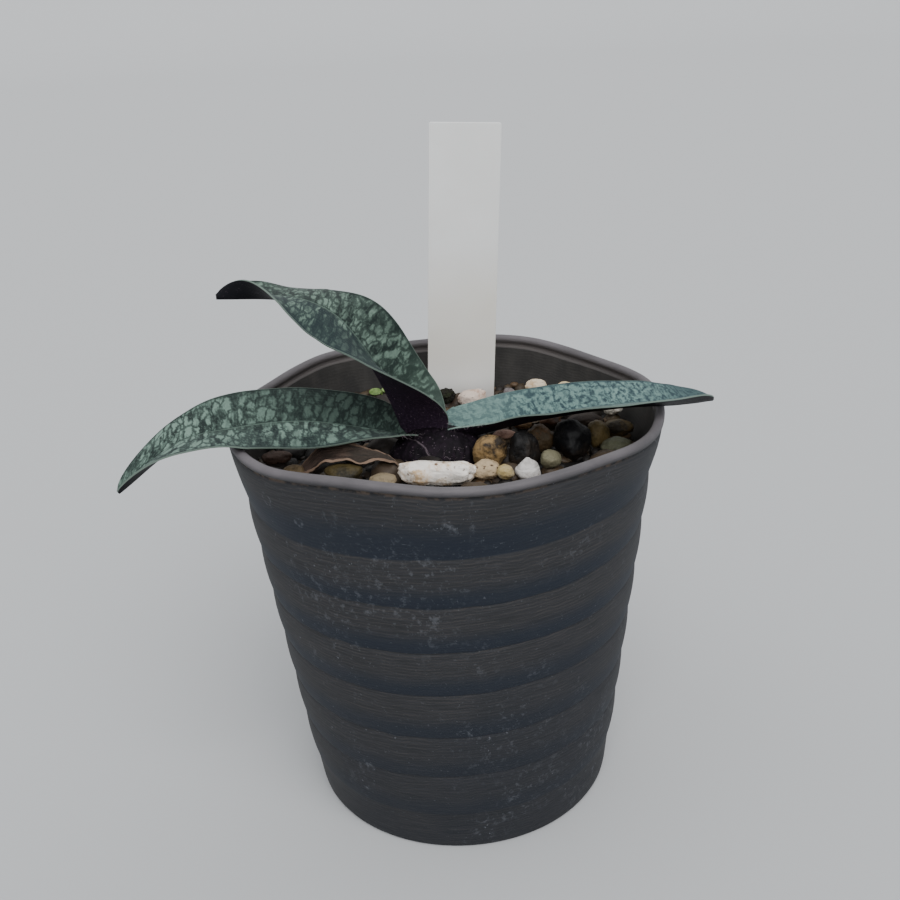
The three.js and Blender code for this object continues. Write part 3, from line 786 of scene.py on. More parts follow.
def lay_on_leaf(piece, stations, start, end, ripple, tuck):
    """Moves a unit grid onto the leaf, from start to end of its midrib, and charts the result."""
    flat = corners(piece) * MM
    lengths = sorted(set(np.round(flat[:, 0] + 0.5, 6)))
    shares = sorted(set(np.round(flat[:, 1] * 2, 6)))
    bend = 0.4 if end == 1 else 0.0  # rows stand closer together towards the tip
    rows = {}
    for s in lengths:
        t = start + (end - start) * ((1 - bend) * s + bend * math.sin(math.pi / 2 * s))
        narrow = 1 - tuck * (1 - s) ** 1.5
        rows[s] = (t, leaf_row(stations, t, [u * narrow for u in shares]))
    places, chart = [], []
    for x, y, _ in flat:
        u = round(y * 2, 6)
        t, row = rows[round(x + 0.5, 6)]
        point = row[shares.index(u)].copy()
        if ripple:
            wave = noise.noise(Vector((t * 9, u * 1.3, len(piece.name))))
            point.z += ripple * wave * (0.35 + abs(u))
        places.append(point)
        chart.append((t, (u + 1) / 2))
    move_corners(piece, places)
    return chart


def leaf_sheet(name, stations, start, end, sheet, finishes, ripple=0.0, tuck=0.0):
    """A leaf from start to end of its midrib. Ripple waves it, and tuck narrows its first rows."""
    piece = begin(
        bpy.ops.mesh.primitive_grid_add, x_subdivisions=sheet["rows"], y_subdivisions=sheet["across"],
        size=1, calc_uvs=True,
    )
    piece.name = name
    chart = lay_on_leaf(piece, stations, start, end, ripple, tuck)
    layer = piece.data.uv_layers[0]
    layer.name = "chart"
    for loop in piece.data.loops:
        layer.data[loop.index].uv = chart[loop.vertex_index]
    body = piece.vertex_groups.new(name="body")
    for i, (t, v) in enumerate(chart):
        u = v * 2 - 1
        rib = 0.45 * math.exp(-((u / 0.07) ** 2)) * (1 - t)
        body.add([i], min(0.55 * (1 - u * u) + rib, 1), "REPLACE")
    coat(piece, *finishes)
    apply_modifier(
        piece, "SOLIDIFY", thickness=sheet["thick"] * MM, offset=0, vertex_group="body",
        thickness_vertex_group=sheet["edge"] / sheet["thick"], material_offset=1, material_offset_rim=0,
    )
    smooth(piece, 50)
    return piece


print("a blade's grid:", BLADE["rows"], "by", BLADE["across"])

# %% [markdown]
# ## Leaf finishes
# The upper face is a net of dark green round pale blocks that lie across the leaf in rows, with a
# pale line on the midrib, a painted highlight along its groove, and a thin pale margin. The blocks are
# the cells of a Voronoi pattern that is drawn out across the leaf, pushed about by a little noise, and
# thinned out where another noise says so. The underside is a dark purple, nearly black, with a few
# pale dots. It is painted paler near the base, a painted light where the crown's shade falls, and
# nearly black towards the tip, a painted shade.

# %% Leaf finishes
def leaf_upper(name, look):
    """look holds the sizes of the markings, and show, veil and tint as functions over the leaf."""
    f = Finish(name + "_upper", specular=0.28)
    along, across = f.parts(f.chart())[:2]
    side = abs(across - 0.5) * 2
    x, y = along * look["length"], (across - 0.5) * 2 * look["half"]
    flat = f.vector(x, y)
    push = f.grain(flat, 0.45, 2, 0.5) - 0.5
    nudge = f.grain(f.vector(y + 20, x), 0.6, 2, 0.5) - 0.5
    bent_x, bent_y = x + push * 1.2 + y * look["slant"], y + nudge * 2.2
    size, (patch_x, patch_y, low, high) = look["size"], look["patches"]
    net = f.cells(f.vector(bent_x * size * 0.56, bent_y * size * 0.29), 1.0, "DISTANCE_TO_EDGE", 0.8)
    patches = f.grain(f.vector(bent_x * patch_x, bent_y * patch_y), 1.0, 2, 0.55)
    fine = f.grain(f.vector(x, y * 0.6), 2.2, 3, 0.6)
    soft = f.grain(flat, 0.16, 2, 0.5)
    cracks = (net + (fine - 0.5) * 0.42).step(0.0, 0.22).most(1 - look["cracked"])
    blocks = patches.step(low, high) * (0.15 + 0.85 * cracks)
    crumbs = fine.step(0.5, 0.68) * 0.3
    rib, margin = side.step(0.09, 0.02), side.step(0.9, 0.99)
    show, veil, tint = (look[mask](along, across, soft) for mask in ("show", "veil", "tint"))
    mottle = blocks.most(crumbs) * (1 - margin * 0.8) * (1 - rib * 0.5) * show
    mottle = mottle.most(veil * (0.5 + 0.5 * patches.step(0.35, 0.6)))
    base = f.over(
        f.mix(look["dark"], look["pale"], mottle * (0.6 + 0.7 * fine)),
        # the ground between the blocks is painted dark blue-green: painted shade with a bluish painted
        # reflection on the near halves of the left leaves, and on the right leaf darker towards the tip
        (paint(27, 44, 50), tint * (1 - mottle) * 0.8),
        # painted highlight: a pale line along the midrib's groove
        (paint(112, 134, 122), side.step(0.028, 0.008) * 0.4),
        (paint(122, 138, 127), side.step(0.985, 0.997) * 0.6),
    )
    veins = (across * 170 + push * 3).sine() * 0.5 + 0.5
    roughness = 0.54 + 0.14 * fine - 0.04 * mottle
    return f.done(base, roughness, veins * 0.3 + fine * 0.5 + patches * 0.4 - rib * 0.8, 0.16, 0.4)


def leaf_under(name, look):
    f = Finish(name + "_under", specular=0.15)
    along, across = f.parts(f.chart())[:2]
    flat = f.vector(along * look["length"], (across - 0.5) * 2 * look["half"])
    speckle = f.grain(flat, 2.2, 4, 0.75)
    dots = f.cells(f.scaled(flat, (0.8, 1.0, 1.0)), 1.8).step(0.24, 0.1)
    dots = dots * f.grain(flat, 0.7, 2, 0.5).step(0.4, 0.55)
    base = f.over(
        # near the base the underside is painted paler purple: painted light where the crown's shade falls
        f.mix(paint(44, 33, 47), paint(74, 59, 76), speckle.step(0.42, 0.72)),
        # towards the tip it is painted nearly black: painted shade
        (f.mix(paint(6, 7, 13), paint(14, 14, 22), speckle.step(0.4, 0.7)), along.step(0.16, 0.5)),
        (paint(128, 112, 124), dots * (0.7 - 0.5 * along.step(0.3, 0.6))),
        (paint(96, 108, 98), (abs(across - 0.5) * 2).step(0.985, 0.995) * 0.5),
    )
    return f.done(base, 0.5 + 0.2 * speckle, speckle + f.grain(flat, 0.4, 3, 0.5), 0.12, 0.5)


print("finishes for each leaf:", leaf_upper.__name__, leaf_under.__name__)

# %% [markdown]
# Each leaf is a little different: the low left one is boldest towards its tip and darkens towards
# the crown on its far half, the high one is sparse on its near half, and the right one is pale and
# bluish, with marks too fine to tell apart. `show` says how strong the blocks are, `veil` how far they
# run together, and the third mask how far the ground between them is painted dark blue-green: on the
# near halves of the two left leaves that is painted shade with a bluish painted reflection, and on the
# right leaf the ground darkens towards the tip.

# %% Masks over the leaves
def low_show(along, across, soft):
    """Dark towards the crown on the far half, palest at the tip and beside the midrib."""
    far = across.step(0.53, 0.46)
    near_rib = across.step(0.5, 0.53) * across.step(0.84, 0.66)
    fade = 1 - along.step(0.62, 0.32) * far * 0.62 - along.step(0.34, 0.12) * (1 - far) * 0.4
    return fade * (0.7 + 0.3 * soft + 0.25 * near_rib + 0.3 * along.step(0.55, 0.85))


def high_show(along, across, soft):
    """Patchy, and sparse on the near half but for a band beside the midrib and the tip."""
    near = across.step(0.52, 0.66)
    patchy = ((soft - 0.5) * 1.6 + 0.9).least(1.0)
    band = across.step(0.5, 0.52) * across.step(0.66, 0.54)
    return patchy * (1 - near * 0.5 * along.step(0.8, 0.5)) + band * 0.25


def right_show(along, across, soft):
    return 0.75 + 0.5 * soft - 0.6 * along.step(0.6, 0.9)


def nowhere(along, across, soft):
    return along * 0


LOOKS = {
    "leaf_left_low": {
        "length": 67, "half": 9, "pale": paint(112, 136, 124), "dark": paint(20, 34, 31),
        "size": 1, "slant": -0.3, "cracked": 1, "patches": (0.62, 0.2, 0.34, 0.56),
        "show": low_show, "veil": nowhere,
        # painted shade with a bluish painted reflection on the near half
        "tint": lambda along, across, soft: across.step(0.5, 0.7) * 0.25,
    },
    "leaf_left_high": {
        "length": 59, "half": 10, "pale": paint(108, 130, 117), "dark": paint(20, 34, 31),
        "size": 1.1, "slant": -0.1, "cracked": 0.95, "patches": (0.6, 0.24, 0.36, 0.58),
        "show": high_show,
        "veil": lambda along, across, soft: along.step(0.34, 0.14) * across.step(0.6, 0.45) * 0.4,
        # painted shade with a bluish painted reflection on the near half
        "tint": lambda along, across, soft: across.step(0.49, 0.56) * 0.6,
    },
    "leaf_right": {
        "length": 59, "half": 8, "pale": paint(112, 141, 135), "dark": paint(42, 64, 71),
        "size": 1.2, "slant": 0.35, "cracked": 0.15, "patches": (1.15, 0.72, 0.34, 0.61),
        "show": right_show,
        "veil": lambda along, across, soft: along.step(0.34, 0.12) * 0.95,
        # darker and bluer towards the tip
        "tint": lambda along, across, soft: along.step(0.1, 0.5) * 0.5,
    },
}
print("looks:", {name: look["size"] for name, look in LOOKS.items()}, "times the plain size of the net")

# %% [markdown]
# Each blade begins where its clasping base ends. The bases are made with the stem, in the next step.

# %% The three leaves
FINISHES = {name: (leaf_upper(name, look), leaf_under(name, look)) for name, look in LOOKS.items()}
for name, stations in LEAVES.items():
    blade = leaf_sheet(name + "_blade", stations, SHEATH_END[name], 1, BLADE, FINISHES[name], ripple=0.2)
    hand_over(blade, "leaf", name)

# %% [markdown]
# ## The crown
# The leaves grow from one short stem, and their bases clasp it like folded hands. The stem is a
# ball that is drawn out and creased, the clasping bases carry on the leaves' own shape down to it,
# and five thick roots go down into the grit. They are joined, since they grew as one.

# %% Stem and clasping bases
CROWN = {"at": (-1.6, -1.2, 75.6), "half": (10.4, 7.8, 7.6)}
FOLD = {"facing": (-0.77, -0.64), "at": 7.45, "lift": 0.45}  # where the lowest leaf's base overlaps


def crown_place(ray, share):
    """The point at a share of the crown's reach along a ray."""
    return [at + half * part * share for at, half, part in zip(CROWN["at"], CROWN["half"], ray)]


def crease(point):
    """Long creases up the stem, with finer ones between them."""
    coarse = noise.noise(Vector((point[0] * 6, point[1] * 2, point[2] * 1.3)))
    return coarse + 0.5 * noise.noise(Vector((point[0] * 14, point[1] * 5, point[2] * 3)))


def past_fold(place):
    """How far a place lies past the overlap's wavering edge, in millimetres."""
    along = place[0] * FOLD["facing"][0] + place[1] * FOLD["facing"][1]
    return along - FOLD["at"] + 0.35 * noise.noise(Vector(place) * 0.7)


stem = begin(bpy.ops.mesh.primitive_ico_sphere_add, subdivisions=7, radius=1)
shaped, fold_line = [], []
for point in corners(stem) * MM:
    share = 0.975 + 0.028 * crease(point) + 0.01 * noise.noise(Vector(point) * 11)
    place = np.array(crown_place(point, share))
    past = past_fold(place)
    shaped.append(place + point * FOLD["lift"] * float(ease(past, 0, 0.25)))
    fold_line.append(float(ease(past, -0.05, 0.1) * (1 - ease(past, 0.1, 0.4))))
move_corners(stem, shaped)
carry(stem, "fold_line", fold_line)
smooth(stem)
sheaths = [
    leaf_sheet(name + "_base", stations, 0.0, SHEATH_END[name], BASE, FINISHES[name], tuck=0.35)
    for name, stations in LEAVES.items()
]
print("stem:", len(stem.data.polygons), "faces; bases:", len(sheaths))

# %% [markdown]
# A root is a curve through a few knots, given thickness by its bevel and then made a mesh. The
# knots are shares of its reach and depth, so one list serves all five.

# %% Roots
# each root's heading in degrees, reach and depth
ROOTS = [(20, 25, 52), (95, 22, 63), (165, 27, 46), (235, 21, 66), (305, 26, 40)]
# each knot's share of the reach, share of the depth, and swing in radians
KNOTS = [(0, 0.02, 0), (0.25, 0.14, 0), (0.7, 0.3, 0.12), (1, 0.55, 0.3), (0.9, 0.8, 0.42), (1.02, 1, 0.5)]
ROOT_RADIUS = 1.85


def root_tube(heading, reach, depth):
    x, y, z = CROWN["at"]
    tube = begin(bpy.ops.curve.primitive_nurbs_path_add)
    spline = tube.data.splines[0]
    spline.points.add(len(KNOTS) - len(spline.points))
    for point, (share, drop, swing) in zip(spline.points, KNOTS):
        turn = math.radians(heading) + swing
        place = (x + reach * share * math.cos(turn), y + reach * share * math.sin(turn), z - depth * drop)
        point.co = (*[c * MM for c in place], 1)
    tube.data.bevel_depth = ROOT_RADIUS * MM
    tube.data.bevel_resolution = 3
    tube.data.use_fill_caps = True
    spline.use_endpoint_u = True
    spline.resolution_u = 8
    only(tube)
    bpy.ops.object.convert(target="MESH")
    return bpy.context.object


roots = [root_tube(*root) for root in ROOTS]
print("roots:", len(roots))

# %% [markdown]
# The stem's skin is almost black, with a purple cast, fine pale creases and tiny light dots. A pale
# line marks where the lowest leaf's base overlaps it. The roots are covered in brown felt.

# %% Crown and root finishes
def crown_skin():
    f = Finish("crown_skin", specular=0.15)
    place = f.place()
    creases = f.grain(f.scaled(place, (1.0, 1.0, 0.35)), 900, 4, 0.7)
    cloud = f.grain(place, 220, 3, 0.5)
    dots = f.cells(f.scaled(place, (0.8, 0.8, 1.2)), 1500).step(0.24, 0.1)
    dots = dots * f.grain(place, 600, 2, 0.5).step(0.42, 0.58)
    base = f.over(
        f.mix(paint(13, 8, 14), paint(30, 20, 30), creases.step(0.42, 0.7)),
        (paint(46, 34, 46), cloud.step(0.58, 0.75) * 0.35),
        (paint(120, 106, 116), dots * 0.6),
        (paint(118, 106, 112), f.number("fold_line") * (0.35 + 0.6 * creases)),
    )
    return f.done(base, 0.6 + 0.2 * creases, creases, 0.25, 0.7)


def root_felt():
    f = Finish("root_felt")
    felt = f.grain(f.place(), 1400, 4, 0.7)
    return f.done(f.mix(paint(78, 58, 40), paint(132, 108, 78), felt), 0.85, felt, 0.2, 0.8)


felt_finish = root_felt()
coat(stem, crown_skin())
for root in roots:
    coat(root, felt_finish)
rootstock = join([stem, *sheaths, *roots], "crown_and_roots")
hand_over(rootstock, "rootstock", "rootstock")

# %% [markdown]
# ## Hairs on the crown
# Short pale hairs stand along the margins of the clasping bases and on the crown's front. A
# particle system would not survive the export, so each hair is a slim three-sided cone, modelled
# once and copied with its own turn and length.

# %% Hairs
HAIR = {"foot": 0.04, "tip": 0.012, "on_margins": 70, "on_crown": 110}  # radii, and how many


def hair_at(template, foot, direction, length):
    hair = free_copy(template)
    turn = Vector((0, 0, 1)).rotation_difference(Vector(direction).normalized()).to_matrix().to_4x4()
    stretch = Matrix.Diagonal((1, 1, length, 1))
    hair.data.transform(Matrix.Translation(Vector(foot) * MM) @ turn @ stretch)
    return hair


def hair_finish():
    f = Finish("hair_pale")
    tone = f.grain(f.place(), 300)
    return f.done(f.mix(paint(140, 128, 132), paint(92, 80, 86), tone), 0.6)


hair_model = begin(
    bpy.ops.mesh.primitive_cone_add, vertices=3, radius1=HAIR["foot"] * MM, radius2=HAIR["tip"] * MM,
    depth=1 * MM, location=(0, 0, 0.5 * MM),
)
bpy.ops.object.transform_apply()
dice = random.Random(5)
hairs = []
for _ in range(HAIR["on_margins"]):
    t = dice.random()
    name = dice.choice(["leaf_left_low", "leaf_right", "leaf_left_high"])
    side = -0.98 if name == "leaf_right" else 0.98
    foot = leaf_row(LEAVES[name], 0.01 + 0.16 * t, [side])[0]
    lean = Vector((dice.uniform(-0.8, 0.8), dice.uniform(-1.2, -0.2), dice.uniform(-0.4, 0.9)))
    hairs.append(hair_at(hair_model, foot, lean, dice.uniform(0.7, 1.7)))
for _ in range(HAIR["on_crown"]):
    turn, rise = dice.uniform(-2.3, -0.9), dice.uniform(-0.1, 0.7)
    ray = (math.cos(turn) * math.cos(rise), math.sin(turn) * math.cos(rise), math.sin(rise))
    lean = Vector(ray) + Vector((dice.uniform(-1, 1), 0, dice.uniform(-1, 0.6)))
    hairs.append(hair_at(hair_model, crown_place(ray, 0.95), lean, dice.uniform(0.4, 1.6)))
bpy.data.objects.remove(hair_model)
hair_piece = join(hairs, "crown_hairs")
coat(hair_piece, hair_finish())
hand_over(hair_piece, "rootstock")

# %% [markdown]
# ## Loose stones
# River stones are worn round, but no two alike. The rigid model holds each one as a faceted ball
# in its place. A copy of it is merged, subdivided until it is smooth, worn flat from several sides,
# roughened by noise, and stretched back to the size that the faceted one had.

# %% Wear a stone
STONE_LEVELS = 3


def worn_reach(rays, seed, flats=14, sharp=6):
    """How far a worn, many-sided stone reaches along each ray: about 1, less on its flats."""
    dice = random.Random(seed)
    reach = np.zeros(len(rays))
    for k in range(flats):
        rise = 1 - 2 * (k + 0.5) / flats + dice.uniform(-0.1, 0.1)
        turn = k * 2.4 + dice.uniform(-0.35, 0.35)
        level = np.array([math.cos(turn), math.sin(turn), 0])
        flat = level * math.sqrt(max(1 - rise * rise, 0)) + [0, 0, rise]
        reach += np.maximum(rays @ flat / dice.uniform(0.74, 0.98), 0) ** sharp
    return np.maximum(reach, 1e-6) ** (-1 / sharp)


def roughen(rays, seed, rough):
    """Dents of three sizes, as a factor for each ray."""
    factors = []
    for ray in rays:
        at = Vector(ray) + Vector((seed * 3.1, 0, 0))
        dents = noise.noise(at * 2) + 0.4 * noise.noise(at * 5) + 0.22 * noise.noise(at * 12)
        factors.append(1 + rough * dents)
    return np.array(factors)


def stone_from(node, rough, seed, sharp, reshape=None):
    """A worn copy of the rigid model's faceted stone, in the same box."""
    piece = free_copy(frame["nodes"][node])
    piece.parent = None
    for key in list(piece.keys()):
        del piece[key]
    only(piece)
    edit_all()
    bpy.ops.mesh.remove_doubles(threshold=0.003 * MM)
    bpy.ops.object.mode_set(mode="OBJECT")
    apply_modifier(piece, "SUBSURF", levels=STONE_LEVELS, render_levels=STONE_LEVELS)
    places = corners(piece)
    low, high = places.min(0), places.max(0)
    centre, half = (low + high) / 2, (high - low) / 2
    rays = (places - centre) / half
    rays /= np.linalg.norm(rays, axis=1)[:, None]
    ball = rays * (worn_reach(rays, seed, sharp=sharp) * roughen(rays, seed, rough))[:, None]
    if reshape:
        ball = reshape(ball)
    move_corners(piece, centre + ball * half)
    fit_to(piece, *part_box(node))
    piece.name = node + "_worn"
    smooth(piece)
    return piece


print("each stone is subdivided", STONE_LEVELS, "times")

# %% [markdown]
# A stone's colour is a cloud of two tones under darker grain and pits. Some stones have spots, and
# all of them have dirt at the foot, where water has left it. Pale ones show the grain and the pits
# less than dark ones, and the dirt more.

# %% Stone finish
def darker(colour, share):
    return tuple(c * share for c in colour[:3]) + (1,)


def stone_finish(name, colour, patch, patch_share, speck, speck_share, rough):
    f = Finish(name, specular=0.3)
    base, patch = paint(*colour), paint(*patch)
    pale = base[1] > 0.45
    place = f.place()
    cloud = f.grain(place, 230, 5, 0.66, 0.5)
    fine = f.grain(place, 1500, 5, 0.75)
    pits = f.cells(place, 1100).step(0.28, 0.1) * f.grain(place, 420, 3, 0.6).step(0.5, 0.62)
    patches = (cloud + (fine - 0.5) * 0.35).step(0.64 - 0.36 * patch_share, 0.86 - 0.36 * patch_share)
    colour = f.over(
        f.mix(base, patch, patches),
        (darker(base, 0.42), fine.step(0.55, 0.8) * (0.12 if pale else 0.5)),
        (darker(base, 0.3), pits * (0.35 if pale else 0.6)),
    )
    if speck:
        spots = (f.cells(place, 760) + (fine - 0.5) * 0.9).step(0.3, 0.16)
        where = f.grain(place, 260, 2, 0.5).step(0.64 - 0.25 * speck_share, 0.74 - 0.25 * speck_share)
        colour = f.mix(colour, paint(*speck), spots * where)
    foot = (f.parts(place)[2] / MM + (cloud - 0.5) * 7).step(79.8, 77.4)
    dirt = foot * (0.35 + 0.65 * fine.step(0.4, 0.6))
    colour = f.mix(colour, f.mix(colour, paint(92, 72, 50), 0.6), dirt * (0.8 if pale else 0.3))
    return f.done(colour, rough + 0.25 * (fine - 0.5), cloud * 0.7 + fine * 0.6 - pits * 0.5, 0.35, 0.65)


def coned(ball):
    """Drawn in towards the top, wide and flat below."""
    radius = np.hypot(ball[:, 0], ball[:, 1])
    wide = np.where(ball[:, 2] < 0, np.maximum(radius, 0.05) ** -0.5, 1)
    ball[:, :2] *= (wide * (1 - 0.7 * np.clip(ball[:, 2] * 0.5 + 0.5, 0, 1)))[:, None]
    return ball


def boned(ball):
    """A long stone with a flat top, a shallow waist, blunt ends and a higher left end."""
    waist = 1 - 0.1 * np.exp(-(((ball[:, 0] - 0.1) / 0.35) ** 2))
    ball[:, 0] = np.sign(ball[:, 0]) * np.abs(ball[:, 0]) ** 0.75
    ball[:, 1] = ball[:, 1] * waist - 0.4 * ball[:, 0]
    ball[:, 2] = np.sign(ball[:, 2]) * np.abs(ball[:, 2]) ** 0.8 * waist - 0.12 * ball[:, 0]
    return ball


RESHAPE = {"stone_white_cone": coned, "stone_white_long": boned}
DENTS = {"bark_mossy": 0.3, "stone_white_long": 0.14}
print("stones with a shape of their own:", list(RESHAPE))

# %% [markdown]
# Each row of the table is one stone: its colour, a second colour and that one's share, the colour
# of its spots and their share, and its roughness.

# %% The stones
STONES = {
    "stone_white_long": ((242, 236, 228), (204, 174, 136), 0.55, (104, 76, 54), 0.75, 0.7),
    "stone_pale_flat": ((180, 160, 130), (146, 124, 94), 0.5, (84, 66, 50), 0.5, 0.7),
    "stone_cream_small": ((168, 148, 100), (178, 166, 138), 0.5, None, 0, 0.6),
    "stone_white_cone": ((214, 211, 208), (188, 184, 180), 0.4, None, 0, 0.6),
    "stone_olive_beige": ((112, 108, 86), (78, 75, 58), 0.5, None, 0, 0.6),
    "stone_amber": ((138, 112, 74), (38, 30, 22), 0.6, (24, 19, 17), 0.6, 0.6),
    "stone_black_mid": ((12, 11, 12), (32, 25, 20), 0.45, None, 0, 0.6),
    "stone_brown_olive": ((62, 50, 32), (96, 66, 38), 0.5, (28, 24, 20), 0.5, 0.6),
    "stone_black_large": ((9, 9, 12), (19, 18, 21), 0.35, None, 0, 0.6),
    "stone_olive_tan": ((96, 82, 50), (58, 52, 34), 0.55, None, 0, 0.55),
    "stone_grey_green": ((82, 84, 66), (56, 56, 46), 0.5, None, 0, 0.6),
    "stone_olive_brown": ((78, 64, 36), (40, 32, 22), 0.55, None, 0, 0.55),
    "stone_white_small": ((214, 208, 196), (170, 154, 134), 0.4, None, 0, 0.6),
    "stone_dark_brown": ((40, 30, 24), (22, 18, 16), 0.5, None, 0, 0.6),
    "stone_tan": ((116, 90, 60), (86, 58, 36), 0.5, (44, 32, 24), 0.4, 0.6),
    "stone_red_brown": ((74, 48, 32), (44, 30, 22), 0.5, None, 0, 0.6),
    "stone_pink_chip": ((150, 118, 104), (104, 76, 64), 0.5, None, 0, 0.65),
    "stone_white_back": ((212, 196, 172), (172, 144, 108), 0.45, None, 0, 0.65),
    "stone_cream_back": ((208, 188, 150), (166, 134, 94), 0.45, None, 0, 0.65),
    "stone_grey_back": ((112, 106, 106), (76, 70, 70), 0.5, None, 0, 0.6),
    "stone_blush": ((214, 196, 182), (180, 146, 126), 0.4, (110, 84, 70), 0.35, 0.6),
    "bark_mossy": ((27, 24, 19), (40, 46, 26), 0.4, (16, 13, 11), 0.6, 0.85),
    "stone_flake_left": ((92, 72, 62), (60, 46, 40), 0.5, None, 0, 0.7),
    "stone_tan_left": ((118, 100, 74), (80, 68, 50), 0.5, None, 0, 0.65),
    "stone_olive_left": ((70, 60, 34), (36, 32, 21), 0.6, None, 0, 0.6),
    "stone_pale_left": ((136, 122, 98), (98, 86, 68), 0.5, (60, 50, 40), 0.4, 0.7),
}
slot_of = {part["node"]: part["material_slot"] for part in frame["record"]["subparts"]}
for number, (node, look) in enumerate(STONES.items()):
    sharp = 8 if "black" in node else 5
    stone = stone_from(node, DENTS.get(node, 0.09), number, sharp, RESHAPE.get(node))
    coat(stone, stone_finish(node + "_skin", *look))
    hand_over(stone, slot_of[node], node)

# %% [markdown]
# ## The bed of grit
# The pot is filled with grit of every size. Below, it is one mass that fills the pot, painted
# near-black as the shade in the gaps between the stones. On top the larger pebbles lie half buried,
# where the rigid model has them, with small grit in every gap. One pebble is modelled and copied,
# each copy with its own stretch, turn and dents, and each stone carries a number that its finish
# reads as a colour.

# %% Bed sizes and the heap
BED = {
    "edge": 75.6, "middle": 76.6, "rise": 2, "from": 26, "gap": 0.35,
    "pebbles": 46, "small": 3.4, "large": 5.6, "crowd": 0.72, "seed": 11, "grains": 1500,
}  # heights, radii and the gap to the wall in millimetres, and how many pebbles and grains


def ground(x, y):
    """The height of the bed, which is heaped in the middle and at the back."""
    inward = 1 - math.hypot(x, y) / inside(BED["edge"])
    heap = min(max(y / BED["from"], 0), 1)
    return BED["edge"] + (BED["middle"] - BED["edge"]) * inward + BED["rise"] * heap


def heap_outline():
    """Radius and height of the mass of grit, just inside the pot's wall."""
    gap = BED["gap"]
    points = [(0, 3.35), (inside(3) - 2 - gap, 3.35), (inside(5.3) - gap, 5.3), (inside(40) - gap, 40)]
    return points + [(inside(74) - gap, 73.8), (inside(75.2) - 0.5, 75.2), (30, 75.6), (18, 76), (0, 76.2)]


heap = turned("heap", heap_outline(), steps=96)
# the heap takes the darkest tone, near-black: painted shade in the gaps between the pebbles
carry(heap, "tone", [0.0] * len(heap.data.vertices))
print("heap:", len(heap.data.polygons), "faces")

# %% [markdown]
# The pebbles follow the same stream of numbers as the rigid model's, so each lands on its own
# faceted one. A place is left out where it would crowd a stone that is already there, and a loose
# stone that would hang free gets a pebble of its own as a seat.

# %% Scatter the pebbles
def number_stream(seed):
    """The seeded stream of numbers from 0 to 1 that also places the rigid model's pebbles."""
    state = seed
    while True:
        state = (state * 1664525 + 1013904223) % 2**32
        yield state / 2**32


def put_pebble(model, place, half, turn, tone, seed, rough=0.1):
    """A copy of the model, worn, stretched, turned, and kept off the pot's wall."""
    piece = free_copy(model)
    ball = corners(piece) * MM
    ball = ball * (worn_reach(ball, seed) * roughen(ball, seed, rough))[:, None] * np.array(half)
    c, s = math.cos(turn), math.sin(turn)
    places = ball @ np.array([[c, s, 0], [-s, c, 0], [0, 0, 1]]) + np.array(place)
    radius = np.hypot(places[:, 0], places[:, 1])
    limit = np.array([inside(z) - BED["gap"] for z in places[:, 2]])
    places[:, :2] *= np.minimum(1, limit / np.maximum(radius, 1e-6))[:, None]
    move_corners(piece, places)
    carry(piece, "tone", [tone] * len(places))
    return piece


def loose_stone(node):
    """The middle, half sizes and foot of a loose stone, in millimetres."""
    low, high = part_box(node)
    return (low + high) / 2 / MM, (high - low) / 2 / MM, low.z / MM


def crowded(x, y, r):
    """Whether a pebble would lie too close to one of the stones in `taken`."""
    return any(math.hypot(a - x, b - y) <= BED["crowd"] * (c + r) for a, b, c in taken)


draw = number_stream(BED["seed"])
dice = random.Random(8)
loose = [loose_stone(node) for node in STONES]
taken = [(middle.x, middle.y, min(half.x, half.y) / 2) for middle, half, _ in loose]
rim = inside(BED["edge"])
model = begin(bpy.ops.mesh.primitive_ico_sphere_add, subdivisions=4, radius=1)
stones = []
while len(stones) < BED["pebbles"]:
    turn = next(draw) * 2 * math.pi
    far = rim * math.sqrt(next(draw))
    r = BED["small"] + (BED["large"] - BED["small"]) * next(draw) ** 1.5
    x, y = far * math.cos(turn), far * math.sin(turn)
    if far > rim - 0.45 * r or crowded(x, y, r):
        continue
    taken.append((x, y, r))
    long, high = r * (0.9 + 0.25 * next(draw)), r * (0.7 + 0.25 * next(draw))
    next(draw)  # the roll of the faceted pebble, which a worn one doesn't need
    swing = next(draw) * 2 * math.pi
    # pebbles in front of the crown get darker tones: painted shade under the leaves
    tone = dice.random() * (0.45 if y < 4 else 0.85)
    place = (x, y, ground(x, y) - 0.05 * high)
    stones.append(put_pebble(model, place, (long, r, high), swing, tone, len(stones)))
for middle, half, foot in loose:
    if foot > ground(middle.x, middle.y):
        rise = (foot - BED["edge"]) / 2
        seat = (middle.x, middle.y, foot - rise)
        size = (half.x, half.y, rise + 0.8)
        stones.append(put_pebble(model, seat, size, 0.4, dice.random(), len(stones)))
bpy.data.objects.remove(model)
print("pebbles:", len(stones))

# %% [markdown]
# A shape that is copied many times has to be plain: a cube with one cut each way, puffed towards a
# ball, has only 24 faces, and the dents make each grain an angular chip of its own.

# %% Fill the gaps with small grit
model = begin(bpy.ops.mesh.primitive_cube_add, size=1.3)
edit_all()
bpy.ops.mesh.subdivide(number_cuts=1)
bpy.ops.transform.tosphere(value=0.75)
bpy.ops.object.mode_set(mode="OBJECT")
grains = []
for number in range(BED["grains"]):
    turn, far = dice.uniform(0, 2 * math.pi), (rim - 1.0) * math.sqrt(dice.random())
    x, y = far * math.cos(turn), far * math.sin(turn)
    r = dice.uniform(0.5, 1.7)
    half = (r * dice.uniform(0.8, 1.5), r, r * dice.uniform(0.5, 0.9))
    place = (x, y, ground(x, y) + dice.uniform(-0.3, 0.6))
    swing, tone = dice.uniform(0, 6), dice.random() ** 1.5 * 0.8
    grains.append(put_pebble(model, place, half, swing, tone, number, rough=0.25))
bpy.data.objects.remove(model)
bed = join([heap, *stones, *grains], "bed_of_grit")
smooth(bed, 60)
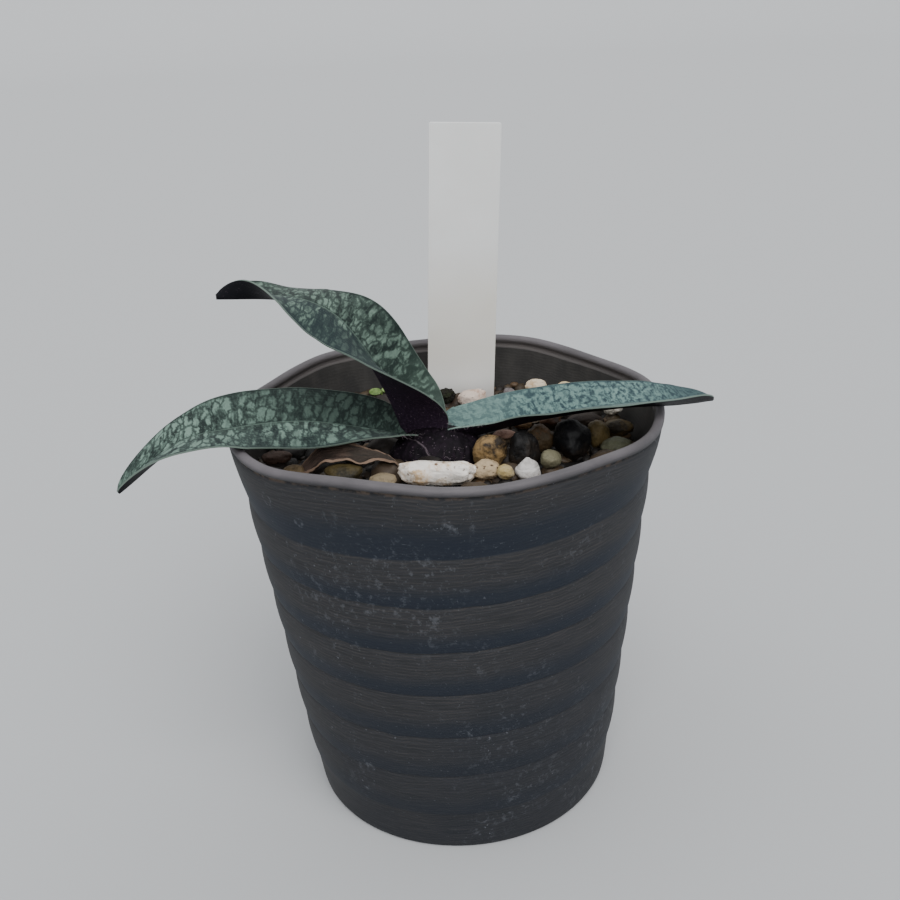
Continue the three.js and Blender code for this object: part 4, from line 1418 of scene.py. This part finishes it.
print("grains:", len(grains))

# %% [markdown]
# Every stone in the bed carries its own tone, and a colour ramp turns that number into one of the
# browns, greys and tans of mixed grit. A little cloud on the tone keeps a stone from being plain.

# %% Grit finish
def mixed_grit():
    f = Finish("mixed_grit")
    place = f.place()
    fine = f.grain(place, 1100, 4, 0.7)
    cloud = f.grain(place, 240, 3, 0.6, 0.3)
    stops = [
        (0.0, paint(17, 14, 13)), (0.18, paint(30, 23, 18)), (0.34, paint(50, 37, 26)),
        (0.5, paint(70, 56, 36)), (0.64, paint(46, 40, 30)), (0.78, paint(96, 72, 46)),
        (0.9, paint(120, 102, 76)), (1.0, paint(150, 138, 120)),
    ]
    ramp = f.node("ShaderNodeValToRGB", {"stops": stops}, {0: f.number("tone") + (cloud - 0.5) * 0.3})
    base = f.mix(ramp, paint(18, 15, 13), fine.step(0.5, 0.8) * 0.6)
    return f.done(base, 0.62 + 0.25 * (fine - 0.5), cloud * 0.5 + fine * 0.6, 0.3, 0.6)


coat(bed, mixed_grit())
hand_over(bed, "grit", "grit_bed")

# %% [markdown]
# ## The dry leaf
# An old leaf has fallen, dried and rolled up. It is a sheet like the green ones, with crinkles
# along it, brown with a paler margin.

# %% Dry leaf
DRY_LEAF = [
    ((-29.4, -10.2, 78.2), 1.5, 14, 24, 20), ((-25.8, -10.2, 80.3), 2.8, 22, 24, 30),
    ((-22, -10.4, 81.5), 3.4, 24, 22, 40), ((-18.2, -11, 81.4), 2.8, 20, 18, 44),
    ((-14.2, -11.2, 80.8), 2.1, 16, 20, 34), ((-9.8, -11.2, 79.4), 1.3, 8, 24, 20),
]


def dry_brown():
    f = Finish("dry_brown")
    along, across = f.parts(f.chart())[:2]
    flat = f.vector(along * 20, across * 8)
    ribs = f.grain(f.scaled(flat, (0.25, 3.0, 1.0)), 1.0, 4, 0.7)
    cloud = f.grain(flat, 0.35, 3, 0.6)
    margin = (abs(across - 0.5) * 2).step(0.84, 0.97)
    base = f.over(
        f.mix(paint(50, 38, 33), paint(104, 85, 74), ribs.step(0.35, 0.7)),
        (paint(34, 32, 25), along.step(0.42, 0.6) * 0.65),
        (paint(52, 50, 38), cloud.step(0.56, 0.7) * 0.5),
        (paint(146, 120, 100), margin * (0.35 + 0.6 * ribs)),
    )
    return f.done(base, 0.7 + 0.15 * ribs, ribs, 0.3, 0.8)


dry_finish = dry_brown()
dry = leaf_sheet("fallen_leaf", DRY_LEAF, 0, 1, FALLEN, (dry_finish, dry_finish))
places = corners(dry)
for place in places:
    at = Vector((place[0] * 0.25, place[1] * 0.8, place[2] * 0.8))
    crinkle = noise.noise(at * 1.6) + 0.4 * noise.noise(at * 5)
    swell = noise.noise(Vector((place[0] * 0.26, place[1] * 0.3, 3)))
    place += np.array([0, 0.15, 0.22]) * crinkle + [0, 0, 1.1 * swell - 0.35]
move_corners(dry, places)
hand_over(dry, "dry_leaf", "dry_leaf")

# %% [markdown]
# ## The label
# A stick-in label is punched from white plastic sheet, with rounded corners and a point that goes
# into the grit. A cube is sized to it, its lower end is drawn in to the point, and bevels round the
# corners and the punched edges. Its face is left blank, with a faint warm cast below its middle.

# %% Label
LABEL = {
    "width": 15.4, "thick": 0.8, "top": 140.5, "length": 106.5, "point": 20, "foot": 4.5,
    "at": (4.6, 27.6, 88), "lean": 3.6, "corner": 0.45, "edge": 0.12,
}  # millimetres, and the lean in degrees
label = begin(bpy.ops.mesh.primitive_cube_add, size=1)
top = LABEL["top"] - LABEL["at"][2]
bottom = top - LABEL["length"]
size, centre = (LABEL["width"], LABEL["thick"], top - bottom), (0, 0, (bottom + top) / 2)
move_corners(label, corners(label) * MM * size + centre)
bpy.ops.object.mode_set(mode="EDIT")
for level in (bottom + LABEL["point"], bottom + LABEL["point"] * 0.5):
    bpy.ops.mesh.select_all(action="SELECT")
    bpy.ops.mesh.bisect(plane_co=(0, 0, level * MM), plane_no=(0, 0, 1))
bpy.ops.object.mode_set(mode="OBJECT")
places = corners(label)
for place in places:
    share = min(max((place[2] - bottom) / LABEL["point"], 0), 1)
    place[0] *= LABEL["foot"] / LABEL["width"] * (1 - share) + share
move_corners(label, places)
print("label:", LABEL["width"], "by", LABEL["length"], "mm,", len(label.data.polygons), "faces")

# %% [markdown]
# The two corners at the top are edges that run through the sheet. They get a bevel weight of their
# own, so that the first bevel rounds only them, and the second breaks every sharp edge.

# %% Round, lean and coat the label
bevelled = label.data.attributes.new("bevel_weight_edge", "FLOAT", "EDGE")
for edge in label.data.edges:
    a, b = (places[v] for v in edge.vertices)
    through = abs(a[0] - b[0]) < 0.01 and abs(a[2] - b[2]) < 0.01
    bevelled.data[edge.index].value = 1.0 if through and a[2] > top - 1 else 0.0
apply_modifier(label, "BEVEL", width=LABEL["corner"] * MM, segments=4, limit_method="WEIGHT")
apply_modifier(
    label, "BEVEL", width=LABEL["edge"] * MM, segments=2, limit_method="ANGLE",
    angle_limit=math.radians(50),
)
lean = Matrix.Translation(Vector(LABEL["at"]) * MM) @ Matrix.Rotation(math.radians(LABEL["lean"]), 4, "Y")
label.data.transform(lean)
label.name = "plant_label"
smooth(label, 12)


def label_plastic():
    f = Finish("label_plastic", specular=0.25)
    place = f.place()
    level = f.parts(place)[2] / MM
    cloud = f.grain(place, 60, 3, 0.5)
    fine = f.grain(f.scaled(place, (1.0, 1.0, 0.3)), 900, 3, 0.6)
    base = f.over(
        f.mix(paint(240, 240, 239), paint(234, 234, 232), cloud.step(0.3, 0.7)),
        (paint(228, 222, 208), level.step(78, 92) * level.step(116, 98) * (0.35 + 0.5 * cloud)),
        (paint(120, 108, 88), level.step(84, 77) * cloud.step(0.3, 0.7) * 0.6),
    )
    return f.done(base, 0.55 + 0.15 * fine, fine, 0.03, 0.4)


coat(label, label_plastic())
hand_over(label, "label", "label")

# %% [markdown]
# ## A seedling
# One weed has sprouted behind the crown: a thread of a stem with two round seed leaves, each a
# squashed ball with a dent down its middle.

# %% Seedling
SEEDLING = {
    "at": (-14.6, 32.4), "ground": 72, "top": 79.4, "stalk": 0.38,
    "leaf": (1.5, 1, 0.3), "spread": 1.5, "tilt": 0.5, "dent": 0.14,
}  # millimetres, but for the tilt, which is a slope
sx, sy = SEEDLING["at"]
tall = SEEDLING["top"] - SEEDLING["ground"]
stalk = begin(
    bpy.ops.mesh.primitive_cylinder_add, vertices=16, radius=SEEDLING["stalk"] * MM, depth=tall * MM,
    location=(sx * MM, sy * MM, (SEEDLING["ground"] + tall / 2) * MM),
)
bpy.ops.object.transform_apply()
sprout = [stalk]
for side, lift in ((-1, 0), (1, 0.4)):
    leaf = begin(bpy.ops.mesh.primitive_uv_sphere_add, segments=32, ring_count=20, radius=1)
    ball = corners(leaf) * MM
    dent = SEEDLING["dent"] * np.exp(-((ball[:, 1] / 0.25) ** 2)) * (ball[:, 2] > 0)
    places = ball * SEEDLING["leaf"] + (sx + side * SEEDLING["spread"], sy, SEEDLING["top"] + lift)
    places[:, 2] += SEEDLING["tilt"] * ball[:, 1] - dent
    move_corners(leaf, places)
    sprout.append(leaf)
seedling = join(sprout, "weed_seedling")
smooth(seedling, 60)


def seed_leaf_green():
    f = Finish("seed_leaf_green")
    patch = f.grain(f.place(), 700, 3, 0.6)
    base = f.mix(paint(84, 112, 46), paint(138, 164, 96), patch.step(0.35, 0.65))
    return f.done(base, 0.5 + 0.1 * patch, patch, 0.08, 0.4)


coat(seedling, seed_leaf_green())
hand_over(seedling, "seedling", "seedling")
